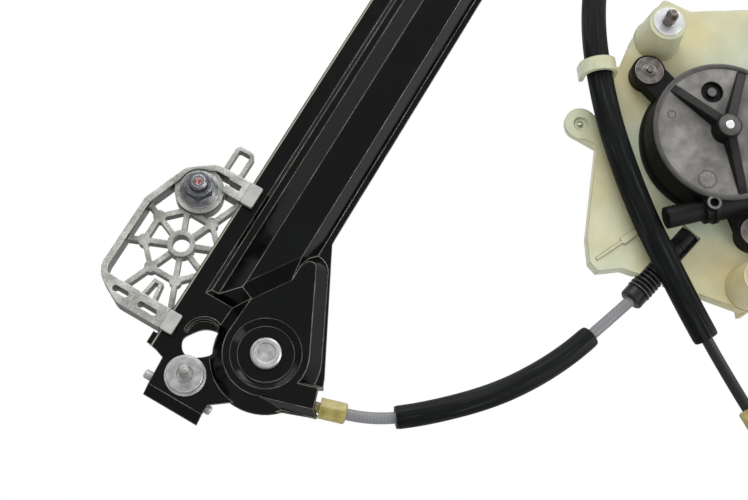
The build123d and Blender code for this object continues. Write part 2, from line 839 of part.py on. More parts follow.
def bellows(frame):
    """Rubber boot between conduit and holder: a plain collar, then ribs."""
    length = bellows_start - holder_start
    pitch = (length - bellows_collar) / bellows_ribs
    profile = [(0, free_gap), (bellows_r[1] - 0.4, free_gap), (bellows_r[1] - 0.4, bellows_collar - 0.6),
               (bellows_r[0], bellows_collar)]
    for rib in range(bellows_ribs):
        start = bellows_collar + rib * pitch
        profile += [(bellows_r[1], start + 0.3 * pitch), (bellows_r[1], start + 0.6 * pitch),
                    (bellows_r[0], start + pitch)]
    profile.append((0, length))
    return spun(frame, *profile)


def holder(frame, length):
    """Moulded conduit holder with a flange that locks in the plate."""
    return spun(
        frame,
        (rope_r + free_gap, 0), (holder_r, 0), (holder_r, 12.0), (holder_r + 0.4, 12.0),
        (holder_r + 0.4, 14.0), (holder_r, 14.0), (holder_r, length - 8.0), (holder_r - 1.6, length),
        (rope_r + free_gap, length),
    )


with BuildPart() as lower_bellows:
    add(bellows(drum_line(lower_line, lower_rope_height, bellows_start)))
finish(lower_bellows.part, "lower_bellows")

with BuildPart() as lower_holder:
    add(holder(drum_line(lower_line, lower_rope_height, holder_start), holder_start - holder_end))
finish(lower_holder.part, "lower_holder")

with BuildPart() as upper_bellows:
    side = drum_line(upper_line, upper_rope_height, -upper_bellows_start)
    add(bellows(Plane(origin=side.origin, x_dir=(0, -1, 0), z_dir=-side.z_dir)))
finish(upper_bellows.part, "upper_bellows")

with BuildPart() as upper_holder:
    side = drum_line(upper_line, upper_rope_height, -upper_holder_start)
    start = Plane(origin=side.origin, x_dir=(0, -1, 0), z_dir=-side.z_dir)
    add(holder(start, upper_holder_start - holder_end))
finish(upper_holder.part, "upper_holder")


# ---------------------------------------------------------------- conduits and foam sleeves
def bend_radii(route):
    """Arc radii as large as the runs beside each corner leave room for."""
    radii = []
    for before, corner, after in zip(route, route[1:], route[2:]):
        arriving = corner - before
        leaving = after - corner
        half_turn = radians(arriving.get_angle(leaving)) / 2
        radii.append(0.45 * min(arriving.length, leaving.length) / tan(half_turn))
    return radii


def hose(route, radii, radius, bore=0.0):
    """Tube along straight runs joined by tangent arcs."""
    with BuildLine() as path:
        FilletPolyline(*route, radius=radii)
    return round_rod(path.wires()[0], radius, bore)


def between(start, end, distance):
    return start + (end - start).normalized() * distance


sleeve_gap = 0.15
upper_pulley_z = pulley_z + pulley_span
far_pulley_z = upper_pulley_z + rail_shift_z
lower_sleeve_r = 5.5
crossing_sleeve_r = 6.35
upper_sleeve_r = 5.5

lower_route = [
    exit_point(front_lower_exit, socket_run + fitting_length),
    exit_point(front_lower_exit, socket_run + fitting_length + 12.6),
    spot(104.0, 41.0, 0.6),
    spot(127.0, 64.5, -0.4),
    spot(145.0, 93.0, -1.6),
    spot(156.0, 124.0, -2.8),
    drum_line(lower_line, lower_rope_height, bellows_start).origin,
]
lower_radii = bend_radii(lower_route)
with BuildPart() as lower_conduit:
    add(hose(lower_route, lower_radii, conduit_r))
finish(lower_conduit.part, "lower_conduit")

lower_sleeve_route = [between(lower_route[1], lower_route[2], 9.3), *lower_route[2:5],
                      between(lower_route[4], lower_route[5], 20.9)]
with BuildPart() as lower_sleeve:
    add(hose(lower_sleeve_route, lower_radii[1:4], lower_sleeve_r, conduit_r + sleeve_gap))
finish(lower_sleeve.part, "lower_sleeve")

rear_socket = to_rear(Vertex(*exit_point(rear_lower_exit, socket_run + fitting_length))).center()
rear_lead = to_rear(Vertex(*exit_point(rear_lower_exit, socket_run + fitting_length + 20.0))).center()
top_socket = to_top(Vertex(*exit_point(front_upper_exit, socket_run + fitting_length))).center()
top_lead = to_top(Vertex(*exit_point(front_upper_exit, socket_run + fitting_length + 20.0))).center()
crossing_route = [
    top_socket,
    top_lead,
    spot(64.5, upper_pulley_z - 90.1, 4.0),
    spot(66.0, upper_pulley_z - 134.1, 7.0),
    spot(66.5, drum_z + 54.5, 10.0),
    spot(80.0, drum_z + 20.5, 12.0),
    spot(drum_x - 53.5, drum_z - 15.0, 12.0),
    spot(drum_x - 19.5, drum_z - 48.5, 12.0),
    spot(drum_x + 22.5, drum_z - 79.2, 10.5),
    rear_lead,
    rear_socket,
]
crossing_radii = bend_radii(crossing_route)
with BuildPart() as crossing_conduit:
    add(hose(crossing_route, crossing_radii, conduit_r))
finish(crossing_conduit.part, "crossing_conduit")

crossing_sleeve_route = [between(crossing_route[1], crossing_route[2], 18.0), *crossing_route[2:9],
                         between(crossing_route[8], crossing_route[9], 20.7)]
with BuildPart() as crossing_sleeve:
    add(hose(crossing_sleeve_route, crossing_radii[1:8], crossing_sleeve_r, conduit_r + sleeve_gap))
finish(crossing_sleeve.part, "crossing_sleeve")

fitting_foot = socket_run + fitting_length
far_socket = to_rear(to_top(Vertex(*exit_point(rear_upper_exit, fitting_foot)))).center()
far_lead = to_rear(to_top(Vertex(*exit_point(rear_upper_exit, fitting_foot + 22.0)))).center()
upper_route = [
    drum_line(upper_line, upper_rope_height, -upper_bellows_start).origin,
    drum_line(upper_line, upper_rope_height, -upper_bellows_start - 24.0).origin,
    spot(216.0, far_pulley_z - 185.0, -5.0),
    spot(214.0, far_pulley_z - 134.0, -3.0),
    spot(219.0, far_pulley_z - 87.0, -1.0),
    far_lead,
    far_socket,
]
upper_radii = bend_radii(upper_route)
with BuildPart() as upper_conduit:
    add(hose(upper_route, upper_radii, conduit_r))
finish(upper_conduit.part, "upper_conduit")

upper_sleeve_route = [between(upper_route[1], upper_route[2], 20.0), *upper_route[2:5],
                      between(upper_route[4], upper_route[5], 20.0)]
with BuildPart() as upper_sleeve:
    add(hose(upper_sleeve_route, upper_radii[1:4], upper_sleeve_r, conduit_r + sleeve_gap))
finish(upper_sleeve.part, "upper_sleeve")

for name, route, radii in (
    ("lower", lower_route, lower_radii),
    ("crossing", crossing_route, crossing_radii),
    ("upper", upper_route, upper_radii),
):
    print(name, "conduit radii", [round(r) for r in radii], "runs",
          [round((b - a).length) for a, b in zip(route, route[1:])])


# ---------------------------------------------------------------- drive plate
plate_back = plate_front - plate_wall
mount_face = 25.0               # bosses that seat on the door panel
stud_shank_r = 3.3
washer_thick = 1.0
boss_places = ((111.1, 261.1), (206.0, 170.0), (214.0, 296.0))
boss_base_r = 11.5
boss_tip_r = 9.2
boss_wall = 2.4
ear = (99.0, 202.0)             # ear at the left, with a locating dimple
ear_r = 8.0
notch_half = 5.0                # slot that the lower conduit holder snaps into
notch_reach = 41.0
collar_r = 9.0                  # drum collar that drives through the plate
saddle_half = 8.6
saddle_low = -9.8
saddle_end = 25.0               # saddles start beside the drum cup
upper_saddle_reach = 36.0
upper_bellows_clear = upper_bellows_start + 6.0
lower_bellows_clear = bellows_start + 6.0
skirt_height = 4.0
skirt_wall = 2.2
cup_rib_width = 2.4
clip_place = (93.0, 228.0, 12.0)    # hook round the crossing sleeve: X, Z and height of its axis
clip_angle = -53.8
clip_r = 6.9
clip_wall = 2.0
clip_width = 7.0
clip_leg = 6.0
clip_foot = 7.0
rib_line = ((136.8, 145.0), (143.5, 158.9), (147.2, 167.5))
rib_widths = (1.4, 3.6)
rib_height = 0.8
flange_clear_r = 6.8            # room round a holder's flange
screw_hole_r = 2.5
lug_places = ((114.9, 240.1), (195.4, 193.1), (183.0, 266.5))    # gear housing screws
plate_outline = [
    (104.3, 283.0), (100.0, 255.0), (102.5, 231.5), (106.2, 211.0), (ear[0], ear[1] + 6.0),
    (ear[0], ear[1] - 6.0), (110.9, 195.9), (128.0, 152.5), (134.8, 142.2), (140.2, 140.3),
    (149.5, 147.4), (187.2, 155.1), (210.7, 159.3), (219.0, 176.0), (224.0, 196.0), (230.0, 240.0),
    (235.0, 285.0), (226.0, 304.0), (206.0, 309.0), (180.0, 311.0), (143.2, 300.4), (118.6, 284.0),
]


def line_cutter(angle, height, radius, start, end):
    """Round cutter on a rope line, from start to end before its tangent point."""
    with BuildPart() as cutter:
        with BuildSketch(drum_line(angle, height, start)):
            Circle(radius)
        extrude(amount=start - end)
    return cutter.part


with BuildPart() as drive_plate:
    with BuildSketch(level(plate_back)) as face:
        Polygon(*plate_outline, align=None)
        fillet(face.vertices(), 2.4)
        with Locations(ear):
            Circle(ear_r)
        with Locations(boss_places):
            Circle(boss_base_r)
    extrude(amount=plate_wall)
    # stiffening skirt round the back
    with BuildSketch(level(plate_back - skirt_height)):
        Polygon(*plate_outline, align=None)
        offset(amount=-skirt_wall, kind=Kind.INTERSECTION, mode=Mode.SUBTRACT)
    extrude(amount=skirt_height)
    # mounting bosses, hollow from behind
    for x, z in boss_places:
        add(turned(
            x, z, (0, plate_back), (boss_base_r, plate_back),
            (boss_tip_r, mount_face), (0, mount_face),
        ))
        add(turned(
            x, z, (0, plate_back - 1), (boss_base_r - boss_wall, plate_back - 1),
            (boss_tip_r - boss_wall, mount_face - 5.0), (0, mount_face - 5.0),
        ), mode=Mode.SUBTRACT)
        with Locations(front_axis(x, z, mount_face)):
            Hole(stud_shank_r)
    # hook that holds the crossing conduit's sleeve to the plate's edge
    across = heading(clip_angle + 90)
    foot = clip_place[2] - plate_back
    with BuildSketch(Plane(origin=spot(*clip_place), x_dir=across, z_dir=heading(clip_angle))):
        Circle(clip_r + clip_wall)
        Circle(clip_r, mode=Mode.SUBTRACT)
        Rectangle(4 * clip_r, 2 * clip_r, align=(Align.CENTER, Align.MAX), mode=Mode.SUBTRACT)
        with Locations((-clip_r, 0)):
            Rectangle(clip_wall, clip_leg, align=(Align.MAX, Align.MAX))
        with Locations((clip_r, 0)):
            Rectangle(clip_wall, foot, align=(Align.MIN, Align.MAX))
        with Locations((clip_r, -foot)):
            Rectangle(clip_foot, plate_wall, align=(Align.MIN, Align.MIN))
    extrude(amount=clip_width / 2, both=True)
    # rib that feeds the plate's lower corner
    for start, end, width in zip(rib_line, rib_line[1:], rib_widths):
        reach = Vector(*end) - Vector(*start)
        with BuildSketch(level(plate_front)):
            with Locations(Location(((start[0] + end[0]) / 2, (start[1] + end[1]) / 2),
                                    degrees(atan2(reach.Y, reach.X)))):
                Rectangle(reach.length, width)
        extrude(amount=rib_height)
    # drum cup on the back, with ribs out to the bosses
    with BuildSketch(level(cup_back)):
        for x, z in boss_places:
            reach = Vector(x - drum_x, z - drum_z)
            with Locations(Location((drum_x, drum_z), reach.get_signed_angle(Vector(1, 0)) * -1)):
                with Locations((reach.length / 2, 0)):
                    Rectangle(reach.length - boss_base_r, cup_rib_width)
        with Locations((drum_x, drum_z)):
            Circle(cup_r)
            Circle(cup_r - cup_wall, mode=Mode.SUBTRACT)
    extrude(amount=plate_back - cup_back)
    # saddles that hold the two conduit holders
    for angle, height, start, end in (
        (lower_line, lower_rope_height, notch_reach, saddle_end),
        (upper_line, upper_rope_height, -saddle_end, -upper_saddle_reach),
    ):
        middle = drum_line(angle, height, (start + end) / 2).origin
        with BuildSketch(level(saddle_low)):
            with Locations(Location((middle.X, middle.Z), angle)):
                Rectangle(abs(start - end), 2 * saddle_half)
        extrude(amount=plate_back - saddle_low)
    with BuildSketch(level(cup_back)):
        with Locations((drum_x, drum_z)):
            Circle(cup_r - cup_wall)
    extrude(amount=plate_back - cup_back, mode=Mode.SUBTRACT)
    add(line_cutter(lower_line, lower_rope_height, holder_r + running_gap, holder_start, holder_end),
        mode=Mode.SUBTRACT)
    add(line_cutter(upper_line, upper_rope_height, holder_r + running_gap, -holder_end, -upper_holder_start),
        mode=Mode.SUBTRACT)
    add(line_cutter(upper_line, upper_rope_height, flange_clear_r, -upper_saddle_reach, -upper_bellows_clear),
        mode=Mode.SUBTRACT)
    add(line_cutter(lower_line, lower_rope_height, flange_clear_r, lower_bellows_clear, notch_reach + 1.0),
        mode=Mode.SUBTRACT)
    for angle, height, start, end in (
        (lower_line, lower_rope_height, holder_end + 1.0, 0),
        (upper_line, upper_rope_height, 0, -holder_end - 1.0),
    ):
        add(line_cutter(angle, height, rope_r + free_gap, start, end), mode=Mode.SUBTRACT)
    # notch for the lower holder, hole for the drum collar
    mouth = drum_line(lower_line, lower_rope_height, (notch_reach + holder_start + 20.0) / 2 + 4.0).origin
    with BuildSketch(level(cup_back)):
        with Locations(Location((mouth.X, mouth.Z), lower_line)):
            Rectangle(holder_start + 28.0 - notch_reach, 2 * notch_half)
        with Locations((drum_x, drum_z)):
            Circle(collar_r + free_gap)
    extrude(amount=plate_front - cup_back, mode=Mode.SUBTRACT)
    with Locations(front_axis(ear[0], ear[1], plate_front)):
        CounterBoreHole(1.5, 3.4, 1.2)
    for x, z in lug_places:
        with Locations(front_axis(x, z, plate_front)):
            Hole(screw_hole_r)
finish(drive_plate.part, "drive_plate")


# ---------------------------------------------------------------- plate fasteners
stud_tip = 36.0
stud_back = 17.0


def plate_stud(x, z):
    """Threaded stud pressed into a boss from behind."""
    return turned(
        x, z, (0, stud_back), (5.0, stud_back), (5.0, mount_face - 5.0), (stud_shank_r, mount_face - 5.0),
        (stud_shank_r, mount_face + washer_thick), (stud_r, mount_face + washer_thick),
        (stud_r, stud_tip - 3.0), (stud_r / 2, stud_tip), (0, stud_tip),
    )


def plate_washer(x, z):
    return turned(
        x, z, (stud_shank_r + running_gap, mount_face), (7.2, mount_face),
        (7.2, mount_face + washer_thick), (stud_shank_r + running_gap, mount_face + washer_thick),
    )


with BuildPart() as plate_studs:
    for x, z in boss_places:
        add(plate_stud(x, z))
finish(plate_studs.part, "plate_studs")

with BuildPart() as plate_washers:
    for x, z in boss_places:
        add(plate_washer(x, z))
finish(plate_washers.part, "plate_washers")


# ---------------------------------------------------------------- drum
spindle_r = 3.0
spindle_neck_r = 1.7
drum_bore_r = spindle_r + 0.06
cover_low = cup_back - 1.6
spindle_head = cover_low - 1.5
collar_top = plate_front + 1.6
cover_boss = drum_low - running_gap

with BuildPart() as cable_drum:
    groove = rope_r + free_gap
    grooves = []
    for height in (upper_rope_height, lower_rope_height):
        grooves += [
            (drum_r, height - groove), (drum_wrap_r - 0.5, height - groove),
            (drum_wrap_r - groove, height - 0.5), (drum_wrap_r - groove, height + 0.5),
            (drum_wrap_r - 0.5, height + groove), (drum_r, height + groove),
        ]
    add(turned(
        drum_x, drum_z, (drum_bore_r, drum_low), (drum_r, drum_low), *grooves, (drum_r, drum_high),
        (collar_r, drum_high), (collar_r, collar_top), (drum_bore_r, collar_top),
    ))
    with BuildSketch(level(collar_top)):
        with Locations((drum_x, drum_z)):
            Rectangle(2 * collar_r + 2, 3.2)
            Rectangle(3.2, 2 * collar_r + 2)
            Circle(spindle_r + 1.6, mode=Mode.SUBTRACT)
    extrude(amount=-1.4, mode=Mode.SUBTRACT)
    with BuildSketch(level(drum_low)):
        with Locations((drum_x, drum_z)):
            with PolarLocations(12.5, 6):
                Circle(4.0)
    extrude(amount=6.0, mode=Mode.SUBTRACT)
finish(cable_drum.part, "cable_drum")

with BuildPart() as drum_cover:
    add(turned(
        drum_x, drum_z, (spindle_r, cover_low), (cup_r, cover_low), (cup_r, cup_back),
        (spindle_r + 4.0, cup_back), (spindle_r + 3.0, cover_boss), (spindle_r, cover_boss),
    ))
finish(drum_cover.part, "drum_cover")

with BuildPart() as drum_spindle:
    add(turned(
        drum_x, drum_z, (0, spindle_head), (5.0, spindle_head), (5.0, cover_low), (spindle_r, cover_low),
        (spindle_r, gear_face), (spindle_neck_r, gear_face), (spindle_neck_r, hub_face + 0.4),
        (0, hub_face + 0.4),
    ))
finish(drum_spindle.part, "drum_spindle")


def wrapped_rope(angle, height, back_off, sweep_angle):
    """Rope from a holder to the drum and part of a turn round it."""
    with BuildLine(level(height)) as path:
        wrap = CenterArc((drum_x, drum_z), drum_wrap_r, angle - 90, sweep_angle)
        Line(wrap @ 0, wrap @ 0 - heading(angle) * back_off)
    return round_rod(path.wires()[0], rope_r)


with BuildPart() as drum_ropes:
    add(wrapped_rope(lower_line, lower_rope_height, holder_start, 200))
    add(wrapped_rope(upper_line, upper_rope_height, -upper_holder_start, -200))
finish(drum_ropes.part, "drum_ropes")


# ---------------------------------------------------------------- gear housing
gear_wall = 2.4
gear_bottom = plate_front
gusset_angles = (167.7, 100.6, -47.8)
gusset_thick = 4.2
gusset_reach = 32.0
housing_hub_r = 6.4
lug_r = 8.3
lug_top = 12.0
barrel_r = 7.0                  # worm tunnel along the motor's axis
nose_r = 5.2
ring_boss = -16.2
dish = (145.6, 240.3)           # dished ring on the housing's face
dish_r = 5.2
dish_depth = 1.8
dome_r = 2.4
nose_start = -38.0              # distances along the motor's axis from the worm's foot
barrel_start = -20.0
end_plate_start = 30.0
end_plate_size = (38.0, 23.6)

shaft = heading(motor_angle)
worm_foot = spot(
    drum_x + cos(radians(motor_angle - 90)) * worm_offset,
    drum_z + sin(radians(motor_angle - 90)) * worm_offset,
    worm_height,
)


def shaft_frame(distance):
    """Plane square to the motor's axis; its local X lies in the plane of the rails."""
    return Plane(origin=worm_foot + shaft * distance, x_dir=heading(motor_angle - 90), z_dir=shaft)


with BuildPart() as gear_housing:
    add(turned(
        drum_x, drum_z, (0, gear_bottom), (gear_base_r, gear_bottom), (gear_base_r, gear_bottom + 3.0),
        (gear_r + 0.8, gear_bottom + 3.0), (gear_r, gear_face - 1.5), (gear_r - 1.5, gear_face),
        (0, gear_face),
    ))
    for x, z in lug_places:
        reach = Vector(x - drum_x, z - drum_z)
        with BuildSketch(level(gear_bottom)):
            with Locations((x, z)):
                Circle(lug_r)
            with Locations(Location(((x + drum_x) / 2, (z + drum_z) / 2),
                                    degrees(atan2(reach.Y, reach.X)))):
                Rectangle(reach.length, 1.7 * lug_r)
        extrude(amount=lug_top - gear_bottom)
    for x, z in lug_places:
        with Locations(front_axis(x, z, lug_top)):
            Hole(screw_hole_r, depth=lug_top - gear_bottom)
    # worm tunnel and its bearing nose
    with BuildSketch(shaft_frame(barrel_start)):
        Circle(barrel_r)
    extrude(amount=end_plate_start - barrel_start)
    with BuildSketch(shaft_frame(nose_start)):
        Circle(nose_r)
    extrude(amount=barrel_start - nose_start)
    with BuildSketch(shaft_frame(end_plate_start)):
        Rectangle(*end_plate_size)
    extrude(amount=motor_start - end_plate_start, mode=Mode.SUBTRACT)
    # hub and its gussets
    add(turned(
        drum_x, drum_z, (0, gear_face), (housing_hub_r, gear_face),
        (housing_hub_r - 0.4, hub_face - 0.6), (housing_hub_r - 1.0, hub_face), (0, hub_face),
    ))
    for angle in gusset_angles:
        out = heading(angle)
        side = Plane(origin=spot(drum_x, drum_z, 0), x_dir=out, z_dir=out.cross(Vector(0, -1, 0)))
        with BuildSketch(side):
            Polygon(
                (3.0, gear_face), (gusset_reach, gear_face), (gusset_reach - 3.0, gear_face + 1.2),
                (5.0, hub_face - 1.0), (3.0, hub_face - 1.0), align=None,
            )
        extrude(amount=gusset_thick / 2, both=True)
    # dished ring with a dome
    add(turned(dish[0], dish[1], (dome_r, gear_face), (dome_r, gear_face - dish_depth),
               (dish_r - 0.6, gear_face - dish_depth), (dish_r, gear_face)), mode=Mode.SUBTRACT)
    # rib and ring boss on the worm tunnel
    with BuildSketch(shaft_frame(ring_boss)):
        Circle(barrel_r + 1.0)
    extrude(amount=2.0)
    with BuildSketch(level(worm_height)):
        with Locations((worm_foot.X + shaft.X * ring_boss, worm_foot.Z + shaft.Z * ring_boss)):
            Circle(3.6)
    extrude(amount=barrel_r + 1.6)
    with BuildSketch(level(worm_height + barrel_r + 1.6)):
        with Locations((worm_foot.X + shaft.X * ring_boss, worm_foot.Z + shaft.Z * ring_boss)):
            Circle(2.0)
    extrude(amount=-3.0, mode=Mode.SUBTRACT)
    # hollow over the worm wheel
    add(turned(
        drum_x, drum_z, (spindle_r + 3.0, gear_bottom), (gear_r - gear_wall, gear_bottom),
        (gear_r - gear_wall, gear_face - gear_wall), (spindle_r + 3.0, gear_face - gear_wall),
    ), mode=Mode.SUBTRACT)
    add(turned(drum_x, drum_z, (spindle_r, gear_bottom), (spindle_r + 3.0, gear_bottom),
               (spindle_r + 3.0, collar_top + 0.4), (spindle_r, collar_top + 0.4)), mode=Mode.SUBTRACT)
    add(turned(
        drum_x, drum_z, (0, gear_bottom), (spindle_r, gear_bottom),
        (spindle_r, gear_face), (0, gear_face),
    ), mode=Mode.SUBTRACT)
    with Locations(front_axis(drum_x, drum_z, hub_face)):
        Hole(spindle_neck_r)
finish(gear_housing.part, "gear_housing")


# ---------------------------------------------------------------- motor
can_end = motor_start + motor_length

with BuildPart() as motor_end_plate:
    with BuildSketch(shaft_frame(end_plate_start)):
        RectangleRounded(end_plate_size[0], end_plate_size[1], 3.0)
    extrude(amount=motor_start - end_plate_start)
finish(motor_end_plate.part, "motor_end_plate")

with BuildPart() as motor_can:
    with BuildSketch(shaft_frame(motor_start)):
        Circle(motor_width / 2)
        Rectangle(motor_width, motor_thick, mode=Mode.INTERSECT)
    extrude(amount=motor_length)
    fillet(motor_can.faces().sort_by(Axis(worm_foot, shaft))[-1].edges(), 2.5)
    with BuildSketch(shaft_frame(can_end)):
        Circle(5.5)
    extrude(amount=4.0)
finish(motor_can.part, "motor_can")


# ---------------------------------------------------------------- connector
socket_x = (204.5, 228.0)
socket_z = (186.0, 206.0)
socket_heights = (8.0, 21.0)
socket_wall = 1.6
socket_depth = 12.0
pin_rows = (11.6, 17.4)
pin_columns = (190.0, 196.0, 202.0)

with BuildPart() as connector:
    with BuildSketch(Plane.YZ.offset(socket_x[0])):
        with Locations((seat_height - sum(socket_heights) / 2, sum(socket_z) / 2)):
            RectangleRounded(socket_heights[1] - socket_heights[0], socket_z[1] - socket_z[0], 2.0)
    extrude(amount=socket_x[1] - socket_x[0])
    with BuildSketch(Plane.YZ.offset(socket_x[1])):
        with Locations((seat_height - sum(socket_heights) / 2, sum(socket_z) / 2)):
            RectangleRounded(socket_heights[1] - socket_heights[0] - 2 * socket_wall,
                             socket_z[1] - socket_z[0] - 2 * socket_wall, 1.2)
    extrude(amount=-socket_depth, mode=Mode.SUBTRACT)
finish(connector.part, "connector")

with BuildPart() as connector_pins:
    with BuildSketch(Plane.YZ.offset(socket_x[1] - socket_depth)):
        for height in pin_rows:
            for z in pin_columns:
                with Locations((seat_height - height, z)):
                    Rectangle(0.8, 2.2)
    extrude(amount=socket_depth - 4.0)
finish(connector_pins.part, "connector_pins")


# ---------------------------------------------------------------- gear housing screws
def lug_screw(x, z):
    return turned(
        x, z, (0, plate_back + 0.5), (2.4, plate_back + 0.5), (2.4, lug_top), (7.0, lug_top),
        (7.0, lug_top + 1.0), (3.4, lug_top + 1.0), (3.0, lug_top + 1.8), (2.0, lug_top + 1.8),
        (1.8, lug_top + 4.0), (0, lug_top + 4.0),
    )


with BuildPart() as housing_screws:
    for x, z in lug_places:
        add(lug_screw(x, z))
finish(housing_screws.part, "housing_screws")
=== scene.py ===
"""Dual-rail window regulator, dressed over its CAD frame.

The axes are the frame's own: +X across the rails, +Z up them, -Y out of the face that carries
the studs.  The part's numbers are millimetres, and mm turns them into metres; the floor, the
lamps and the ends of the foam sleeves are in metres.  Heights are measured forwards from the
rails' base sheet.
"""

import bpy
import numpy as np
from mathutils import Matrix, Vector


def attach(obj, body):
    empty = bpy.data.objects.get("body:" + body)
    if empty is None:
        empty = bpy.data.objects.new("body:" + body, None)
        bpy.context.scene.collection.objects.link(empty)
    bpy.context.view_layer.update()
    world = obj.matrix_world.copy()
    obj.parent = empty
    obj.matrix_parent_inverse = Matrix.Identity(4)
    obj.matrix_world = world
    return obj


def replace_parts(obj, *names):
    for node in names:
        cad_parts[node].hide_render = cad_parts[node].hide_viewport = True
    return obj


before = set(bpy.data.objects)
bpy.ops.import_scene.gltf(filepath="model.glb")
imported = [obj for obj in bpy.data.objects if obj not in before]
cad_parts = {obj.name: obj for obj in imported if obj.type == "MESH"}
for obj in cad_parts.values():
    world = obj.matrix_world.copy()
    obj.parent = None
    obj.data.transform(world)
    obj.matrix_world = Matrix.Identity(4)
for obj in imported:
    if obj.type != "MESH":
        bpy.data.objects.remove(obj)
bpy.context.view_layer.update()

# ---------------------------------------------------------------- rails
# Two rails pressed from 1.5 mm steel sheet and dip-coated black.  The coat is a thin cured
# film, so it flows off the sharp edges and is smooth on the flats.  The pale colour of those edges is
# partly that thin coat and partly painted highlight, and a pale line on the guide flange is painted
# highlight.
mm = 0.001


def linear(hex_colour):
    """sRGB hex to linear RGBA, each channel's display curve undone."""
    channels = np.array([int(hex_colour[i:i + 2], 16) for i in (1, 3, 5)]) / 255
    low = channels / 12.92
    high = ((channels + 0.055) / 1.055) ** 2.4
    return (*(float(c) for c in np.where(channels <= 0.04045, low, high)), 1.0)


def add_node(material, kind, inputs=None, **settings):
    """A node of that kind with its settings; each input is a value or another node's output."""
    tree = material.node_tree
    made = tree.nodes.new(kind)
    for name, value in settings.items():
        setattr(made, name, value)
    for name, value in (inputs or {}).items():
        if isinstance(value, bpy.types.NodeSocket):
            tree.links.new(value, made.inputs[name])
        else:
            made.inputs[name].default_value = value
    return made


def new_material(name):
    """An empty node material and its Object coordinates."""
    material = bpy.data.materials.new(name)
    material.use_nodes = True
    material.node_tree.nodes.clear()
    place = add_node(material, "ShaderNodeTexCoord").outputs["Object"]
    return material, place


def speckle(material, place, size, detail=3.0, stretch=(1, 1, 1)):
    """Noise whose blotches are about size across."""
    spread = add_node(material, "ShaderNodeMapping", {"Vector": place, "Scale": stretch})
    inputs = {"Vector": spread.outputs["Vector"], "Scale": 1 / size, "Detail": detail}
    return add_node(material, "ShaderNodeTexNoise", inputs).outputs["Fac"]


def tint(material, amount, *stops):
    """Colour from an amount between 0 and 1 through (position, hex) stops."""
    ramp = add_node(material, "ShaderNodeValToRGB", {"Fac": amount})
    while len(ramp.color_ramp.elements) < len(stops):
        ramp.color_ramp.elements.new(0.5)
    for element, (position, colour) in zip(ramp.color_ramp.elements, stops):
        element.position = position
        element.color = linear(colour)
    return ramp.outputs["Color"]


def level_range(material, amount, low, high):
    """An amount between 0.3 and 0.7 spread from low to high."""
    inputs = {"Value": amount, "From Min": 0.3, "From Max": 0.7, "To Min": low, "To Max": high}
    return add_node(material, "ShaderNodeMapRange", inputs).outputs["Result"]


def soften(material, radius):
    """Normal that rounds every edge over about radius."""
    return add_node(material, "ShaderNodeBevel", {"Radius": radius}, samples=6).outputs["Normal"]


def bump(material, amount, depth, normal=None):
    """Normal tilted as if an amount of 1 stood depth above an amount of 0."""
    inputs = {"Height": amount, "Distance": depth, "Strength": 1.0}
    if normal is not None:
        inputs["Normal"] = normal
    return add_node(material, "ShaderNodeBump", inputs).outputs["Normal"]


def edge_share(material, radius, full=0.86):
    """0 on flats and 1 on edges, where the cosine to the normal rounded over radius falls to full."""
    rounded = soften(material, radius)
    flat = add_node(material, "ShaderNodeNewGeometry").outputs["Normal"]
    cosine = add_node(material, "ShaderNodeVectorMath", {0: rounded, 1: flat},
                      operation="DOT_PRODUCT").outputs["Value"]
    inputs = {"Value": cosine, "From Min": 0.995, "From Max": full}
    return add_node(material, "ShaderNodeMapRange", inputs).outputs["Result"]


def mixed(material, share, low, high):
    """Colour that goes from low to high with share."""
    inputs = {"Factor": share, 6: low, 7: high}
    return add_node(material, "ShaderNodeMix", inputs, data_type="RGBA").outputs[2]


def product(material, *amounts):
    """Amounts multiplied together."""
    result = amounts[0]
    for amount in amounts[1:]:
        result = add_node(material, "ShaderNodeMath", {0: result, 1: amount},
                          operation="MULTIPLY").outputs[0]
    return result


def distance(material, value, centre):
    """How far a value lies from a centre."""
    gap = add_node(material, "ShaderNodeMath", {0: value, 1: centre},
                   operation="SUBTRACT").outputs[0]
    return add_node(material, "ShaderNodeMath", {0: gap}, operation="ABSOLUTE").outputs[0]


def front_share(material, normal, start, full):
    """1 on faces turned to the front, 0 on walls, from the -Y part of the normal."""
    facing = add_node(material, "ShaderNodeSeparateXYZ", {"Vector": normal}).outputs["Y"]
    inputs = {"Value": facing, "From Min": -start, "From Max": -full}
    return add_node(material, "ShaderNodeMapRange", inputs).outputs["Result"]


def surface(material, **inputs):
    """The shader and the material's output."""
    named = {key.replace("_", " "): value for key, value in inputs.items()}
    shader = add_node(material, "ShaderNodeBsdfPrincipled", named)
    add_node(material, "ShaderNodeOutputMaterial", {"Surface": shader.outputs["BSDF"]})
    return material


